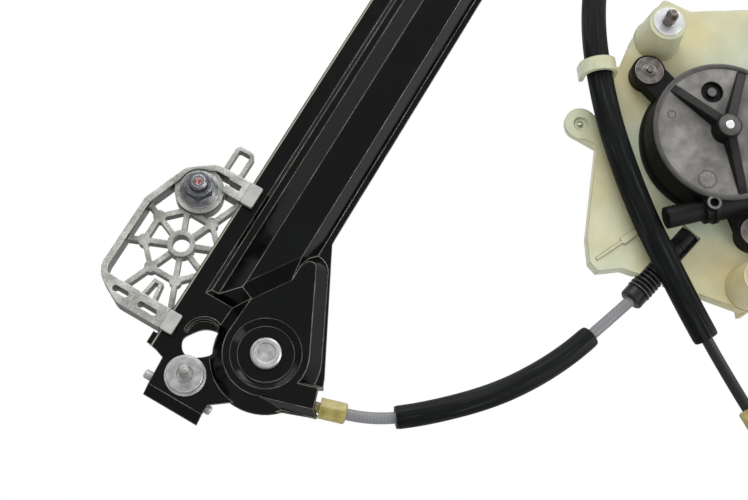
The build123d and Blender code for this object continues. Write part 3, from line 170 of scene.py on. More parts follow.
def black_dip_coat():
    """Cured black dip coat: deep black, orange peel about 2 mm across, thin and pale on its edges.

    A line on the guide flange's front, beside its free edge, is painted pale as a highlight.  The pale
    edges are partly the thin coat and partly painted highlight.  The specular level is low, so that the
    coat stays black where it mirrors a white room.
    """
    material, place = new_material("black_dip_coat")
    haze = speckle(material, place, 14 * mm)
    peel = speckle(material, place, 2.2 * mm, detail=1.0)
    film = speckle(material, place, 9 * mm, detail=2.0)
    edge_highlight_share = edge_share(material, 0.5 * mm, 0.92)
    # pale on the edges: partly the thin coat, partly painted highlight
    thin_coat_and_highlight = product(material, edge_highlight_share, level_range(material, film, 0.25, 1.0))
    # a pale line beside the guide flange's free edge: painted highlight
    across = add_node(material, "ShaderNodeSeparateXYZ", {"Vector": place}).outputs["X"]
    outward = distance(material, across, rails_middle * mm)
    from_line = distance(material, outward, highlight_line_reach * mm)
    inputs = {"Value": from_line, "From Min": 0.45 * mm, "From Max": 0.2 * mm, "To Max": 0.6}
    painted_highlight = add_node(material, "ShaderNodeMapRange", inputs).outputs["Result"]
    pale = add_node(material, "ShaderNodeMath", {0: thin_coat_and_highlight, 1: painted_highlight}, operation="MAXIMUM").outputs[0]
    black = tint(material, haze, (0.3, "#020303"), (0.7, "#060808"))
    return surface(
        material,
        Base_Color=mixed(material, pale, black, linear("#d6d0c0")),
        Roughness=level_range(material, haze, 0.1, 0.18),
        Specular_IOR_Level=0.12,
        Normal=bump(material, peel, 0.008 * mm, soften(material, 1.5 * mm)),
    )


def paint(names, material):
    """The same finish on several CAD nodes."""
    for name in names:
        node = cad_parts[name]
        node.data.materials.clear()
        node.data.materials.append(material)


# (x, z) from the front rail to the rear one, which is its mirror image
rail_shift = (303.0, 85.9)
rails_middle = rail_shift[0] / 2
# how far the painted highlight line lies from the middle of the two rails
highlight_line_reach = 172.2
sides = ("front", "rear")
ends = ("lower", "upper")
four = [f"{side}_{end}" for side in sides for end in ends]
paint([f"{side}_rail" for side in sides], black_dip_coat())


# ---------------------------------------------------------------- pulleys
# Four rope wheels and the cable drum, moulded from natural acetal.  Each wheel turns on its
# rivet under the housing pressed into the rail, and is mostly hidden there.
def natural_acetal():
    """Acetal as moulded: waxy, slightly translucent off-white."""
    material, place = new_material("natural_acetal")
    cloud = speckle(material, place, 6 * mm)
    return surface(
        material,
        Base_Color=tint(material, cloud, (0.3, "#cfccbf"), (0.7, "#dedbcf")),
        Roughness=0.42,
        Subsurface_Weight=0.08,
        Subsurface_Scale=1.5 * mm,
        Normal=soften(material, 0.5 * mm),
    )


paint([f"{end}_pulley" for end in four] + ["cable_drum"], natural_acetal())


# ---------------------------------------------------------------- rivets, studs and screws
# Cold-headed steel, zinc plated and clear passivated: pale grey with a fine satin sheen.  The
# plate's washers are stamped and brighter, and its screws and studs are dulled by grease.
def zinc_plate():
    """Zinc over turned steel: satin grey in blotches of 3.5 mm, its edges painted bright as a
    highlight.
    """
    material, place = new_material("zinc_plate")
    blotch = speckle(material, place, 3.5 * mm)
    return surface(
        material,
        # edges painted near white: painted highlight
        Base_Color=mixed(material, edge_share(material, 0.45 * mm),
                         tint(material, blotch, (0.3, "#8b8c8b"), (0.7, "#b7b8b7")), linear("#f2f3f1")),
        Metallic=0.55,
        Roughness=level_range(material, blotch, 0.35, 0.5),
        Normal=soften(material, 0.4 * mm),
    )


zinc = zinc_plate()
paint([f"{end}_{kind}" for end in four for kind in ("rivet", "stud")], zinc)
paint(["cross_pins", "drum_spindle", "connector_pins", "drum_cover"], zinc)


def bright_zinc():
    """Fresh zinc on thin pressed washers: almost white, smooth."""
    material, place = new_material("bright_zinc")
    blotch = speckle(material, place, 6 * mm)
    return surface(
        material,
        Base_Color=tint(material, blotch, (0.3, "#c9cacd"), (0.7, "#f2f2f5")),
        Metallic=0.55,
        Roughness=0.25,
        Normal=soften(material, 0.3 * mm),
    )


def oily_zinc():
    """Zinc-plated screws dulled by grease: brownish grey, with edges painted pale as a highlight."""
    material, place = new_material("oily_zinc")
    grease = speckle(material, place, 3 * mm, detail=4.0)
    return surface(
        material,
        # edges painted pale: painted highlight
        Base_Color=mixed(material, edge_share(material, 0.45 * mm),
                         tint(material, grease, (0.3, "#4d4845"), (0.7, "#86807b")), linear("#c8c5c1")),
        Metallic=0.7,
        Roughness=level_range(material, grease, 0.25, 0.45),
        Normal=soften(material, 0.3 * mm),
    )


paint(["plate_washers"], bright_zinc())
paint(["housing_screws", "plate_studs"], oily_zinc())


# ---------------------------------------------------------------- mounting studs
# The four mounting studs: a flanged seat, a rolled thread and a dog point, turned from steel and
# zinc plated.  Rolling leaves rounded crests and dark, greasy roots.
def riding_mesh(name, points, faces, material, body):
    """Smooth-shaded mesh of those points and faces that rides on a body."""
    mesh = bpy.data.meshes.new(name)
    mesh.from_pydata(points.reshape(-1, 3).tolist(), [], faces)
    mesh.shade_smooth()
    mesh.materials.append(material)
    made = bpy.data.objects.new(name, mesh)
    bpy.context.scene.collection.objects.link(made)
    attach(made, body)
    return made


def tube_mesh(name, points, material, body, along=None):
    """Closed tube whose row i, column j vertex is points[i, j], columns right-handed about the rows.

    along gives each row's distance and becomes an attribute, beside each column's angle.
    """
    rows, columns = points.shape[:2]
    row, column = np.meshgrid(np.arange(rows - 1), np.arange(columns), indexing="ij")
    beside = (column + 1) % columns
    quads = np.stack([row * columns + column, row * columns + beside,
                      (row + 1) * columns + beside, (row + 1) * columns + column], axis=-1)
    faces = quads.reshape(-1, 4).tolist()
    faces.append(list(range(columns))[::-1])
    faces.append(list(range((rows - 1) * columns, rows * columns)))
    made = riding_mesh(name, points, faces, material, body)
    made.data.set_sharp_from_angle(angle=np.radians(40))
    if along is not None:
        around = np.linspace(-1, 1, columns)
        for share, values in (("along", np.repeat(along, columns)), ("around", np.tile(around, rows))):
            attribute = made.data.attributes.new(share, "FLOAT", "POINT")
            attribute.data.foreach_set("value", values.astype(np.float32))
    return made


def front_place(x, z, height):
    """Point in metres from millimetres across, up and in front of the rails' base sheet."""
    return np.array([x, seat_height - height, z]) * mm


def turned_points(x, z, radius, height, columns=48):
    """centre(x, z, h) + r(h, t) (cos t, 0, sin t): rows over heights, columns over the angle t."""
    turn = np.linspace(0, 2 * np.pi, columns, endpoint=False)
    radius = np.broadcast_to(radius, (len(height), columns))
    across = np.stack([np.cos(turn), np.zeros(columns), np.sin(turn)], axis=-1)
    centre = front_place(x, z, 0) + np.outer(height, (0, -mm, 0))
    return centre[:, None, :] + radius[..., None] * mm * across[None]


def thread_points(x, z, radius, low, high, pitch):
    """Turned rod with r = radius + depth cos(2 pi h / pitch + t), fading out at both ends."""
    columns = 36
    height = np.linspace(low, high, int((high - low) / pitch * 8) + 1)
    turn = np.linspace(0, 2 * np.pi, columns, endpoint=False)
    wave = np.cos(2 * np.pi * height[:, None] / pitch + turn[None, :])
    fade = np.clip(np.minimum(height - low, high - height) / pitch, 0, 1)[:, None]
    return turned_points(x, z, radius + thread_depth * (1 + wave) * fade, height, columns)


def thread_steel():
    """Rolled zinc-plated thread: dark grey, with its crests and edges painted pale as a highlight."""
    material, place = new_material("thread_steel")
    rub = speckle(material, place, 1.5 * mm)
    return surface(
        material,
        # crests and edges painted pale: painted highlight
        Base_Color=mixed(material, edge_share(material, 0.2 * mm),
                         tint(material, rub, (0.3, "#646561"), (0.7, "#85867f")), linear("#cfd0cc")),
        Metallic=0.45,
        Roughness=level_range(material, rub, 0.4, 0.55),
    )


seat_height = 4.2
rail_top = 482.2
thread_radius = 2.1
thread_depth = 0.22
thread_pitch = 0.9
thread_low, thread_high = 5.6, 16.0
# (radius, height) of the flange with its seat, and of the dog point past the thread
seat_profile = np.array([(2.9, -1.5), (2.9, 0.0), (9.3, 0.0), (9.6, 0.3), (9.6, 0.9), (9.3, 1.2),
                         (8.7, 1.2), (8.6, 1.4), (8.6, 3.7), (8.2, 4.2), (4.0, 4.2), (3.8, 4.0),
                         (3.6, 3.5), (2.7, 3.4), (2.7, 5.2), (2.2, 6.0)])
point_profile = np.array([(2.1, 15.6), (2.1, 16.0), (1.4, 16.8), (1.4, 18.4), (1.1, 18.8)])
thread = thread_steel()
for side, (shift_x, shift_z) in (("front", (0.0, 0.0)), ("rear", rail_shift)):
    for end, stud_z in (("lower", 0.0), ("upper", rail_top)):
        place = (shift_x, shift_z + stud_z)
        seat = turned_points(*place, seat_profile[:, :1], seat_profile[:, 1])
        flange = tube_mesh(f"{side}_{end}_flange", seat, zinc, "regulator")
        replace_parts(flange, f"{side}_{end}_stud")
        turns = thread_points(*place, thread_radius, thread_low, thread_high, thread_pitch)
        tube_mesh(f"{side}_{end}_thread", turns, thread, "regulator")
        point = turned_points(*place, point_profile[:, :1], point_profile[:, 1])
        tube_mesh(f"{side}_{end}_point", point, zinc, "regulator")


# ---------------------------------------------------------------- carriers
# Pressure die-cast aluminium lattices, left as cast and tumbled: dull grey.  Their walls are painted
# darker as shade, and their front faces and rib edges paler as painted highlights.
def cast_aluminium():
    """Die-cast aluminium: flow marks about 9 mm across, grain 0.6 mm, walls painted dark as shade,
    front faces and edges painted light.
    """
    material, place = new_material("cast_aluminium")
    flow = speckle(material, place, 9 * mm, detail=5.0)
    grain = speckle(material, place, 0.6 * mm, detail=3.0)
    rounded = soften(material, 0.9 * mm)
    edge_highlight_share = edge_share(material, 0.5 * mm)
    # front faces lighter and walls darker: lit and shaded copies of one grey, painted light and shade
    front = front_share(material, rounded, 0.55, 0.9)
    shaded_walls = tint(material, flow, (0.3, "#30312c"), (0.7, "#4f504a"))
    skin = mixed(material, 0.45, flow, grain)
    lit_tops = tint(material, skin, (0.38, "#84857f"), (0.5, "#a5a6a0"), (0.62, "#c6c7c1"))
    return surface(
        material,
        # edges painted pale: painted highlight
        Base_Color=mixed(material, product(material, edge_highlight_share, level_range(material, flow, 0.3, 0.9)),
                         mixed(material, front, shaded_walls, lit_tops), linear("#e0e0da")),
        Metallic=0.35,
        Roughness=level_range(material, flow, 0.36, 0.52),
        Normal=bump(material, grain, 0.05 * mm, rounded),
    )


paint([f"{side}_carrier_frame" for side in sides], cast_aluminium())


# ---------------------------------------------------------------- rope blocks, holders and connector
# Swivel blocks, conduit holders, the connector and the motor's end plate.  All are black
# glass-filled nylon, injection moulded with a spark-eroded grain.
def black_nylon():
    """Moulded nylon: charcoal, dusty, with a fine eroded grain of 0.5 mm."""
    material, place = new_material("black_nylon")
    dust = speckle(material, place, 8 * mm, detail=4.0)
    grain = speckle(material, place, 0.5 * mm, detail=2.0)
    return surface(
        material,
        Base_Color=tint(material, dust, (0.3, "#0d0e0e"), (0.7, "#1b1c1c")),
        Roughness=level_range(material, dust, 0.35, 0.5),
        Specular_IOR_Level=0.25,
        Normal=bump(material, grain, 0.04 * mm, soften(material, 0.7 * mm)),
    )


nylon_nodes = ["swivel_blocks", "lower_holder", "upper_holder", "connector", "motor_end_plate"]
paint(nylon_nodes, black_nylon())


# ---------------------------------------------------------------- guide shoes
# Clips moulded in grey acetal, one on the end of each carrier arm.  They slide on the rail's
# guide flange, and grease from it smudges them.
def grey_acetal():
    """Light grey acetal, waxy, smudged with grease in clouds of 5 mm, its walls painted darker as shade
    than its front faces.
    """
    material, place = new_material("grey_acetal")
    smudge = speckle(material, place, 5 * mm, detail=4.0)
    rounded = soften(material, 0.8 * mm)
    # walls painted darker and front faces lighter: painted shade and light
    shaded_walls = tint(material, smudge, (0.3, "#5f605c"), (0.7, "#777873"))
    lit_tops = tint(material, smudge, (0.3, "#acada8"), (0.7, "#c3c4be"))
    return surface(
        material,
        Base_Color=mixed(material, front_share(material, rounded, 0.55, 0.9), shaded_walls, lit_tops),
        Roughness=0.4,
        Normal=rounded,
    )


paint([f"{end}_shoe" for end in four], grey_acetal())


# ---------------------------------------------------------------- glass bolts and nuts
# M8 steel bolt with a flange nut, zinc-iron plated, so darker than the rivets.  It clamps the
# glass to the carrier, and a dab of paint marks it as tightened.
def zinc_iron_plate():
    """Zinc-iron plate: dark grey, a little rougher where the wrench rubbed, its edges painted bright as
    a highlight.
    """
    material, place = new_material("zinc_iron_plate")
    blotch = speckle(material, place, 2.5 * mm)
    return surface(
        material,
        # edges painted near white: painted highlight
        Base_Color=mixed(material, edge_share(material, 0.3 * mm, 0.95),
                         tint(material, blotch, (0.3, "#4b4d50"), (0.7, "#737578")), linear("#f0f1ee")),
        Metallic=0.75,
        Roughness=level_range(material, blotch, 0.3, 0.42),
        Normal=soften(material, 0.25 * mm),
    )


def nut_points(x, z, base):
    """Rows of nut_profile; above hexagon_base, r = min(profile, apothem / cos((t mod 60) - 30))."""
    columns = 96
    turn = np.linspace(0, 2 * np.pi, columns, endpoint=False)
    hexagon = nut_apothem / np.cos(np.mod(turn, np.pi / 3) - np.pi / 6)
    limit = np.where(nut_profile[:, 1:] > hexagon_base, hexagon[None, :], np.inf)
    radius = np.minimum(nut_profile[:, :1], limit)
    return turned_points(x, z, radius, base + nut_profile[:, 1], columns)


def red_paint():
    """Dab of marking paint on the bolt's end: brick red, worn through in spots."""
    material, place = new_material("red_paint")
    wear = speckle(material, place, 0.8 * mm)
    return surface(
        material,
        Base_Color=tint(material, wear, (0.35, "#5e1a14"), (0.52, "#9c463b"), (0.6, "#dcd6d2")),
        Roughness=0.35,
    )


nut_apothem = 6.3
hexagon_base = 2.7
# (radius, height) of the washer, the nut's flange, and its hexagon with a chamfered top
nut_profile = np.array([(9.2, 0.05), (9.4, 0.2), (9.4, 0.8), (9.2, 1.0), (8.5, 1.02), (8.8, 1.25),
                        (8.8, 1.75), (8.5, 2.0), (8.0, 2.15), (7.6, 2.6), (7.28, 3.1), (7.28, 8.0),
                        (6.9, 8.7), (6.3, 9.3), (5.6, 9.6), (4.6, 9.6), (4.1, 9.3)])
boss_front = 2.0
zinc_iron = zinc_iron_plate()
paint([f"{side}_glass_bolt" for side in sides], zinc_iron)
marking = red_paint()
glass_bolt_tip = 14.5
dab_height = glass_bolt_tip + np.array([-0.1, 0.1, 0.2])
dab_radius = np.array([1.9, 1.8, 1.0])[:, None]
bolt_x, bolt_z = -41.0, 78.6
rear_bolt = (rail_shift[0] - bolt_x, rail_shift[1] + bolt_z)
for side, place in (("front", (bolt_x, bolt_z)), ("rear", rear_bolt)):
    nut = tube_mesh(f"{side}_flange_nut", nut_points(*place, boss_front), zinc_iron, f"{side}_carrier")
    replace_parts(nut, f"{side}_glass_nut")
    dab = turned_points(*place, dab_radius, dab_height)
    tube_mesh(f"{side}_paint_dab", dab, marking, f"{side}_carrier")


# ---------------------------------------------------------------- rope
# Galvanised steel wire rope, 1.5 mm thick and greased.  Nipples at its ends hold it in the
# carriers.
def galvanised_strand():
    """Galvanised wire rope, greased: grey, in diagonal bands about 1 mm apart."""
    material, place = new_material("galvanised_strand")
    inputs = {"Vector": place, "Scale": 350.0, "Distortion": 0.0}
    strand = add_node(material, "ShaderNodeTexWave", inputs, bands_direction="DIAGONAL").outputs["Fac"]
    return surface(
        material,
        Base_Color=tint(material, strand, (0.2, "#4c4c4a"), (0.8, "#8d8d8a")),
        Metallic=0.9,
        Roughness=0.38,
        Normal=bump(material, strand, 0.2 * mm),
    )


rope_nodes = [f"{side}_{piece}" for side in sides for piece in ("rail_rope", "rope_nipples")]
paint(rope_nodes + ["drum_ropes"], galvanised_strand())


# ---------------------------------------------------------------- conduit fittings
# Hexagonal ends for the conduits, moulded in yellow acetal, one in each pulley housing.  The
# rope runs through them.
def yellow_acetal():
    """Yellow-beige acetal, a little dirty: waxy and soft-edged."""
    material, place = new_material("yellow_acetal")
    grime = speckle(material, place, 4 * mm, detail=4.0)
    return surface(
        material,
        Base_Color=tint(material, grime, (0.3, "#8d823f"), (0.7, "#b9ae68")),
        Roughness=0.45,
        Normal=soften(material, 0.8 * mm),
    )


paint([f"{end}_fitting" for end in four], yellow_acetal())


# ---------------------------------------------------------------- conduits
# Bowden conduits: a wire coil under an extruded polyamide jacket, grey on the lower one and
# black on the other two.  The coil shows through as fine rings.
def route_line(points, spacing):
    """Points spacing apart, in metres, on the order-3 NURBS spline that the route's points control."""
    curve = bpy.data.curves.new("route", "CURVE")
    curve.dimensions = "3D"
    curve.resolution_u = 40
    spline = curve.splines.new("NURBS")
    spline.points.add(len(points) - 1)
    spline.points.foreach_set("co", np.column_stack([points, np.ones(len(points))]).ravel())
    spline.order_u = 3
    spline.use_endpoint_u = True
    holder = bpy.data.objects.new("route", curve)
    mesh = bpy.data.meshes.new_from_object(holder)
    line = np.empty(len(mesh.vertices) * 3)
    mesh.vertices.foreach_get("co", line)
    line = line.reshape(-1, 3)
    bpy.data.objects.remove(holder)
    bpy.data.curves.remove(curve)
    bpy.data.meshes.remove(mesh)
    run = np.concatenate([[0], np.cumsum(np.linalg.norm(np.diff(line, axis=0), axis=1))])
    even = np.linspace(0, run[-1], int(run[-1] / spacing) + 1)
    return np.column_stack([np.interp(even, run, line[:, axis]) for axis in range(3)]), even


def hose_points(line, radius, columns):
    """line(s) + r(s, t) (cos t n + sin t b), n turned to the front and b = tangent x n."""
    tangent = np.gradient(line, axis=0)
    tangent /= np.linalg.norm(tangent, axis=1)[:, None]
    front = np.array([0.0, -1.0, 0.0])
    normal = front - (tangent @ front)[:, None] * tangent
    normal /= np.linalg.norm(normal, axis=1)[:, None]
    beside = np.cross(tangent, normal)
    turn = np.linspace(-np.pi, np.pi, columns, endpoint=False)
    cosine, sine = np.cos(turn)[None, :, None], np.sin(turn)[None, :, None]
    out = cosine * normal[:, None, :] + sine * beside[:, None, :]
    return line[:, None, :] + np.broadcast_to(radius, (len(line), columns))[..., None] * out


def jacket(name, dark, light):
    """Extruded polyamide: matt, scuffed in clouds of 5 mm, darker between the coil's rings."""
    material, place = new_material(name)
    scuff = speckle(material, place, 5 * mm, detail=4.0)
    run = add_node(material, "ShaderNodeAttribute", attribute_name="along").outputs["Fac"]
    phase = product(material, run, 2 * np.pi / (coil_pitch * mm))
    ring = add_node(material, "ShaderNodeMath", {0: phase}, operation="SINE").outputs[0]
    share = add_node(material, "ShaderNodeMapRange",
                     {"Value": ring, "From Min": -1.0, "To Min": 0.45}).outputs["Result"]
    return surface(
        material,
        Base_Color=mixed(material, product(material, share, level_range(material, scuff, 0.6, 1.0)),
                         linear(dark), linear(light)),
        Roughness=0.45,
        Specular_IOR_Level=0.35,
        Normal=bump(material, ring, 0.01 * mm),
    )


coil_pitch = 1.6
jacket_radius = 2.72
jacket_columns = 32
# control points of each conduit's middle line
conduit_routes = {
    "lower": [(72.01, 3.0, 21.74), (84.04, 3.0, 25.47), (104.0, 3.6, 41.0), (127.0, 4.6, 64.5),
              (145.0, 5.8, 93.0), (156.0, 7.0, 124.0), (160.71, 7.6, 138.09)],
    "crossing": [(54.62, 3.0, 420.25), (59.8, 3.0, 400.94), (64.5, 0.2, 366.0), (66.0, -2.8, 322.0),
                 (66.5, -5.8, 280.0), (80.0, -7.8, 246.0), (106.0, -7.8, 210.5), (140.0, -7.8, 177.0),
                 (182.0, -6.3, 146.3), (214.11, 3.0, 128.83), (231.26, 3.0, 118.53)],
    "upper": [(202.64, 10.6, 290.15), (210.26, 10.6, 312.91), (216.0, 9.2, 357.0), (214.0, 7.2, 408.0),
              (219.0, 5.2, 455.0), (229.04, 3.0, 495.5), (240.04, 3.0, 514.55)],
}
grey_jacket = jacket("grey_jacket", "#797a7d", "#8f9093")
black_jacket = jacket("black_jacket", "#040505", "#101313")
conduit_lines = {}
for name, route in conduit_routes.items():
    line, run = route_line(np.array(route) * mm, 1.5 * mm)
    conduit_lines[name] = line, run
    finish = grey_jacket if name == "lower" else black_jacket
    tube = hose_points(line, jacket_radius * mm, jacket_columns)
    conduit = tube_mesh(f"{name}_jacket", tube, finish, "regulator", run)
    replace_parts(conduit, f"{name}_conduit")


# ---------------------------------------------------------------- foam sleeves
# Foam strips folded round the conduits and welded along the front, so that they don't rattle.
# The long one is folded from a wider strip: two lobes with a groove between them.
def black_foam():
    """Closed-cell foam: near black with a green cast, cells 1 mm, lengthwise folds 4 mm apart, their
    crests painted lighter as highlights.
    """
    material, place = new_material("black_foam")
    cell = speckle(material, place, 1.1 * mm, detail=2.0)
    run = add_node(material, "ShaderNodeAttribute", attribute_name="along").outputs["Fac"]
    around = add_node(material, "ShaderNodeAttribute", attribute_name="around").outputs["Fac"]
    unrolled = add_node(material, "ShaderNodeCombineXYZ", {"X": around, "Y": run}).outputs["Vector"]
    fold = speckle(material, unrolled, 0.1, detail=3.0, stretch=(1.0, 2.6, 1.0))
    return surface(
        material,
        # the folds' crests painted lighter: painted highlight
        Base_Color=tint(material, fold, (0.35, "#010202"), (0.54, "#050808"), (0.7, "#2b312f")),
        Roughness=level_range(material, fold, 0.4, 0.65),
        Specular_IOR_Level=0.12,
        Normal=bump(material, cell, 0.02 * mm, bump(material, fold, 0.5 * mm)),
    )


foam = black_foam()
sleeve_turn = np.linspace(-np.pi, np.pi, 48, endpoint=False)


def sleeve(name, first, last, widths, groove):
    """Sleeve over a conduit's line from first to last metre.

    r(s, t) = width(s) (1 - groove exp(-(t / 0.42)^2) + groove exp(-(t / 0.13)^2) / 2 +
    ripple(s, t)), with t from the front, width(s) read between evenly spaced widths, and
    rounded ends.
    """
    line, run = conduit_lines[name]
    kept = (run >= first) & (run <= last)
    line, run = line[kept], run[kept]
    share = (run - run[0]) / (run[-1] - run[0])
    width = np.interp(share, np.linspace(0, 1, len(widths)), widths) * mm
    ends = np.minimum(run - run[0], run[-1] - run) / mm
    width *= 1 - 0.05 * np.exp(-ends / 0.4)
    turn = sleeve_turn[None, :]
    fold = -groove * np.exp(-(turn / 0.42) ** 2) + groove / 2 * np.exp(-(turn / 0.13) ** 2)
    ripple = 0.012 * np.sin(5 * turn + 3.1 * np.sin(run[:, None] / (23 * mm)))
    radius = width[:, None] * (1 + fold + ripple)
    tube = hose_points(line, radius, len(sleeve_turn))
    made = tube_mesh(f"{name}_foam", tube, foam, "regulator", run)
    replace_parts(made, f"{name}_sleeve")


sleeve("lower", 0.0215, 0.1255, (5.4, 5.5, 5.5, 5.4), 0.0)
sleeve("crossing", 0.038, 0.341, (4.9, 4.9, 5.0, 5.9, 6.1, 6.2, 6.3, 6.2, 6.1), 0.16)
sleeve("upper", 0.045, 0.19, (5.4, 5.5, 5.4), 0.0)


# ---------------------------------------------------------------- bellows
# Rubber boots that keep water out of the holders: eight thin ribs behind a plain collar, each
# boot moulded in one piece and pushed onto the end of a conduit.
def boot_rubber():
    """Moulded rubber: black, with the crests of its ribs painted grey as a highlight."""
    material, place = new_material("boot_rubber")
    bloom = speckle(material, place, 4 * mm)
    run = add_node(material, "ShaderNodeAttribute", attribute_name="along").outputs["Fac"]
    turns = 2 * np.pi / (rib_pitch * mm)
    phase = add_node(material, "ShaderNodeMath", {0: run, 1: turns, 2: -turns * collar_length * mm},
                     operation="MULTIPLY_ADD").outputs[0]
    wave = add_node(material, "ShaderNodeMath", {0: phase}, operation="COSINE").outputs[0]
    # the crests of the ribs painted grey: painted highlight
    painted_highlight = add_node(material, "ShaderNodeMapRange",
                      {"Value": wave, "From Min": -0.8, "From Max": -0.99}).outputs["Result"]
    ribbed = add_node(material, "ShaderNodeMath", {0: run, 1: collar_length * mm},
                      operation="GREATER_THAN").outputs[0]
    grey = product(material, painted_highlight, ribbed, level_range(material, bloom, 0.1, 0.9))
    black = tint(material, bloom, (0.3, "#070808"), (0.7, "#101212"))
    return surface(
        material,
        Base_Color=mixed(material, grey, black, linear("#9aa09f")),
        Roughness=0.42,
        Specular_IOR_Level=0.35,
    )


def boot_points(start, angle, length):
    """Boot along a straight line: r(s) = 5.1 + crest(s) with eight crests after the collar."""
    run = np.linspace(0, length, 160)
    along = np.array([np.cos(np.radians(angle)), 0.0, np.sin(np.radians(angle))])
    crest = 0.5 - 0.5 * np.cos(2 * np.pi * (run - collar_length) / rib_pitch)
    radius = np.where(run < collar_length, 5.8, 5.1 + 1.1 * crest ** 0.7)
    radius = radius - 0.5 * np.exp(-run / 0.3)
    line = np.array(start) * mm + run[:, None] * along * mm
    return hose_points(line, radius[:, None] * mm, 48), run * mm


collar_length = 5.2
boot_length = 23.0
rib_count = 8
rib_pitch = (boot_length - collar_length) / rib_count
rubber = boot_rubber()
# the end of the conduit, and the boot's direction in degrees from +X
boots = {"lower": (conduit_routes["lower"][-1], 77.3), "upper": (conduit_routes["upper"][0], 251.5)}
for name, (start, angle) in boots.items():
    points, run = boot_points(start, angle, boot_length)
    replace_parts(tube_mesh(f"{name}_boot", points, rubber, "regulator", run), f"{name}_bellows")


# ---------------------------------------------------------------- drive plate
# Plate moulded in ivory polypropylene.  It carries the gear housing on three screws, and the
# dimple in its ear has a low dome as its floor.
def ivory_plastic():
    """Ivory moulding: waxy, greenish and yellow in clouds of 45 mm, grimy in patches, with painted
    shade along its edges and in its corners.
    """
    material, place = new_material("ivory_plastic")
    grime = speckle(material, place, 14 * mm, detail=5.0)
    cloud = speckle(material, place, 45 * mm, detail=1.0)
    pale = tint(material, cloud, (0.35, "#d6dfc8"), (0.65, "#e0d4a2"))
    dirty = tint(material, cloud, (0.35, "#bdc6aa"), (0.65, "#cbc093"))
    clean = mixed(material, level_range(material, grime, 0.0, 0.8), pale, dirty)
    return surface(
        material,
        # edges and corners painted darker: painted shade
        Base_Color=mixed(material, product(material, edge_share(material, 0.8 * mm), 0.75),
                         clean, linear("#7f7d5c")),
        Roughness=0.42,
        Subsurface_Weight=0.1,
        Subsurface_Scale=1.5 * mm,
        Normal=soften(material, 1.0 * mm),
    )


ivory = ivory_plastic()
paint(["drive_plate"], ivory)
ear_dimple = (99.0, 202.0)
floor_radius = np.array([1.7, 1.7, 1.2, 0.5])[:, None]
floor_height = np.array([-1.6, -1.05, -0.8, -0.7])
tube_mesh("dimple_floor", turned_points(*ear_dimple, floor_radius, floor_height), ivory, "regulator")


# ---------------------------------------------------------------- gear housing and motor
# Glass-filled polyamide housing, injection moulded, dusty grey on its face, with the deep-drawn
# steel can of the motor beside it.  Three screws hold it on the drive plate.
def dusty_polyamide():
    """Glass-filled polyamide: black, its front faces rubbed and dusted grey in mottles of 11 mm."""
    material, place = new_material("dusty_polyamide")
    mottle = speckle(material, place, 11 * mm, detail=6.0)
    grain = speckle(material, place, 0.6 * mm)
    rounded = soften(material, 0.9 * mm)
    black = tint(material, mottle, (0.3, "#060606"), (0.7, "#121211"))
    dust = tint(material, mottle, (0.3, "#5d5c5a"), (0.5, "#7d7b78"), (0.7, "#a09d99"))
    reach = add_node(material, "ShaderNodeSeparateXYZ", {"Vector": place}).outputs["Y"]
    inputs = {"Value": reach, "From Min": dust_starts * mm, "From Max": dust_full * mm}
    raised = add_node(material, "ShaderNodeMapRange", inputs).outputs["Result"]
    inputs = {"Value": reach, "From Min": hub_starts * mm, "From Max": hub_full * mm,
              "To Min": 1.0, "To Max": hub_dust}
    hub = add_node(material, "ShaderNodeMapRange", inputs).outputs["Result"]
    dusted = product(material, raised, hub, front_share(material, rounded, 0.965, 0.995))
    return surface(
        material,
        Base_Color=mixed(material, dusted, black, dust),
        Roughness=level_range(material, mottle, 0.42, 0.6),
        Specular_IOR_Level=0.15,
        Normal=bump(material, grain, 0.04 * mm, rounded),
    )


def drawn_steel():
    """Deep-drawn plated steel: satin, faint lengthwise drawing marks."""
    material, place = new_material("drawn_steel")
    marks = speckle(material, place, 3 * mm, detail=4.0)
    return surface(
        material,
        Base_Color=tint(material, marks, (0.3, "#8b8c8c"), (0.7, "#a8a9a9")),
        Metallic=1.0,
        Roughness=0.34,
        Normal=soften(material, 1.0 * mm),
    )


def highlit_edge_polyamide():
    """The same polyamide, charcoal, with its edges painted grey as a highlight."""
    material, place = new_material("highlit_edge_polyamide")
    rub = speckle(material, place, 5 * mm, detail=4.0)
    return surface(
        material,
        # edges painted grey: painted highlight
        Base_Color=mixed(material, product(material, edge_share(material, 0.4 * mm), 0.5),
                         tint(material, rub, (0.3, "#2b2a28"), (0.7, "#45433f")), linear("#8a8782")),
        Roughness=0.5,
        Normal=soften(material, 0.4 * mm),
    )


def cast_mark():
    """Raised moulding marks rubbed paler than the face around them."""
    material, place = new_material("cast_mark")
    rub = speckle(material, place, 1 * mm)
    pale = tint(material, rub, (0.3, "#8f8c88"), (0.7, "#b9b6b1"))
    return surface(material, Base_Color=pale, Roughness=0.5)


def polished_steel():
    """Peened and polished pin end: painted near white as a reflection, with faint turning marks."""
    material, place = new_material("polished_steel")
    rub = speckle(material, place, 0.8 * mm)
    return surface(
        material,
        # near white base: painted reflection
        Base_Color=tint(material, rub, (0.3, "#e2e3e3"), (0.7, "#fafafa")),
        Metallic=0.3,
        Roughness=0.2,
    )


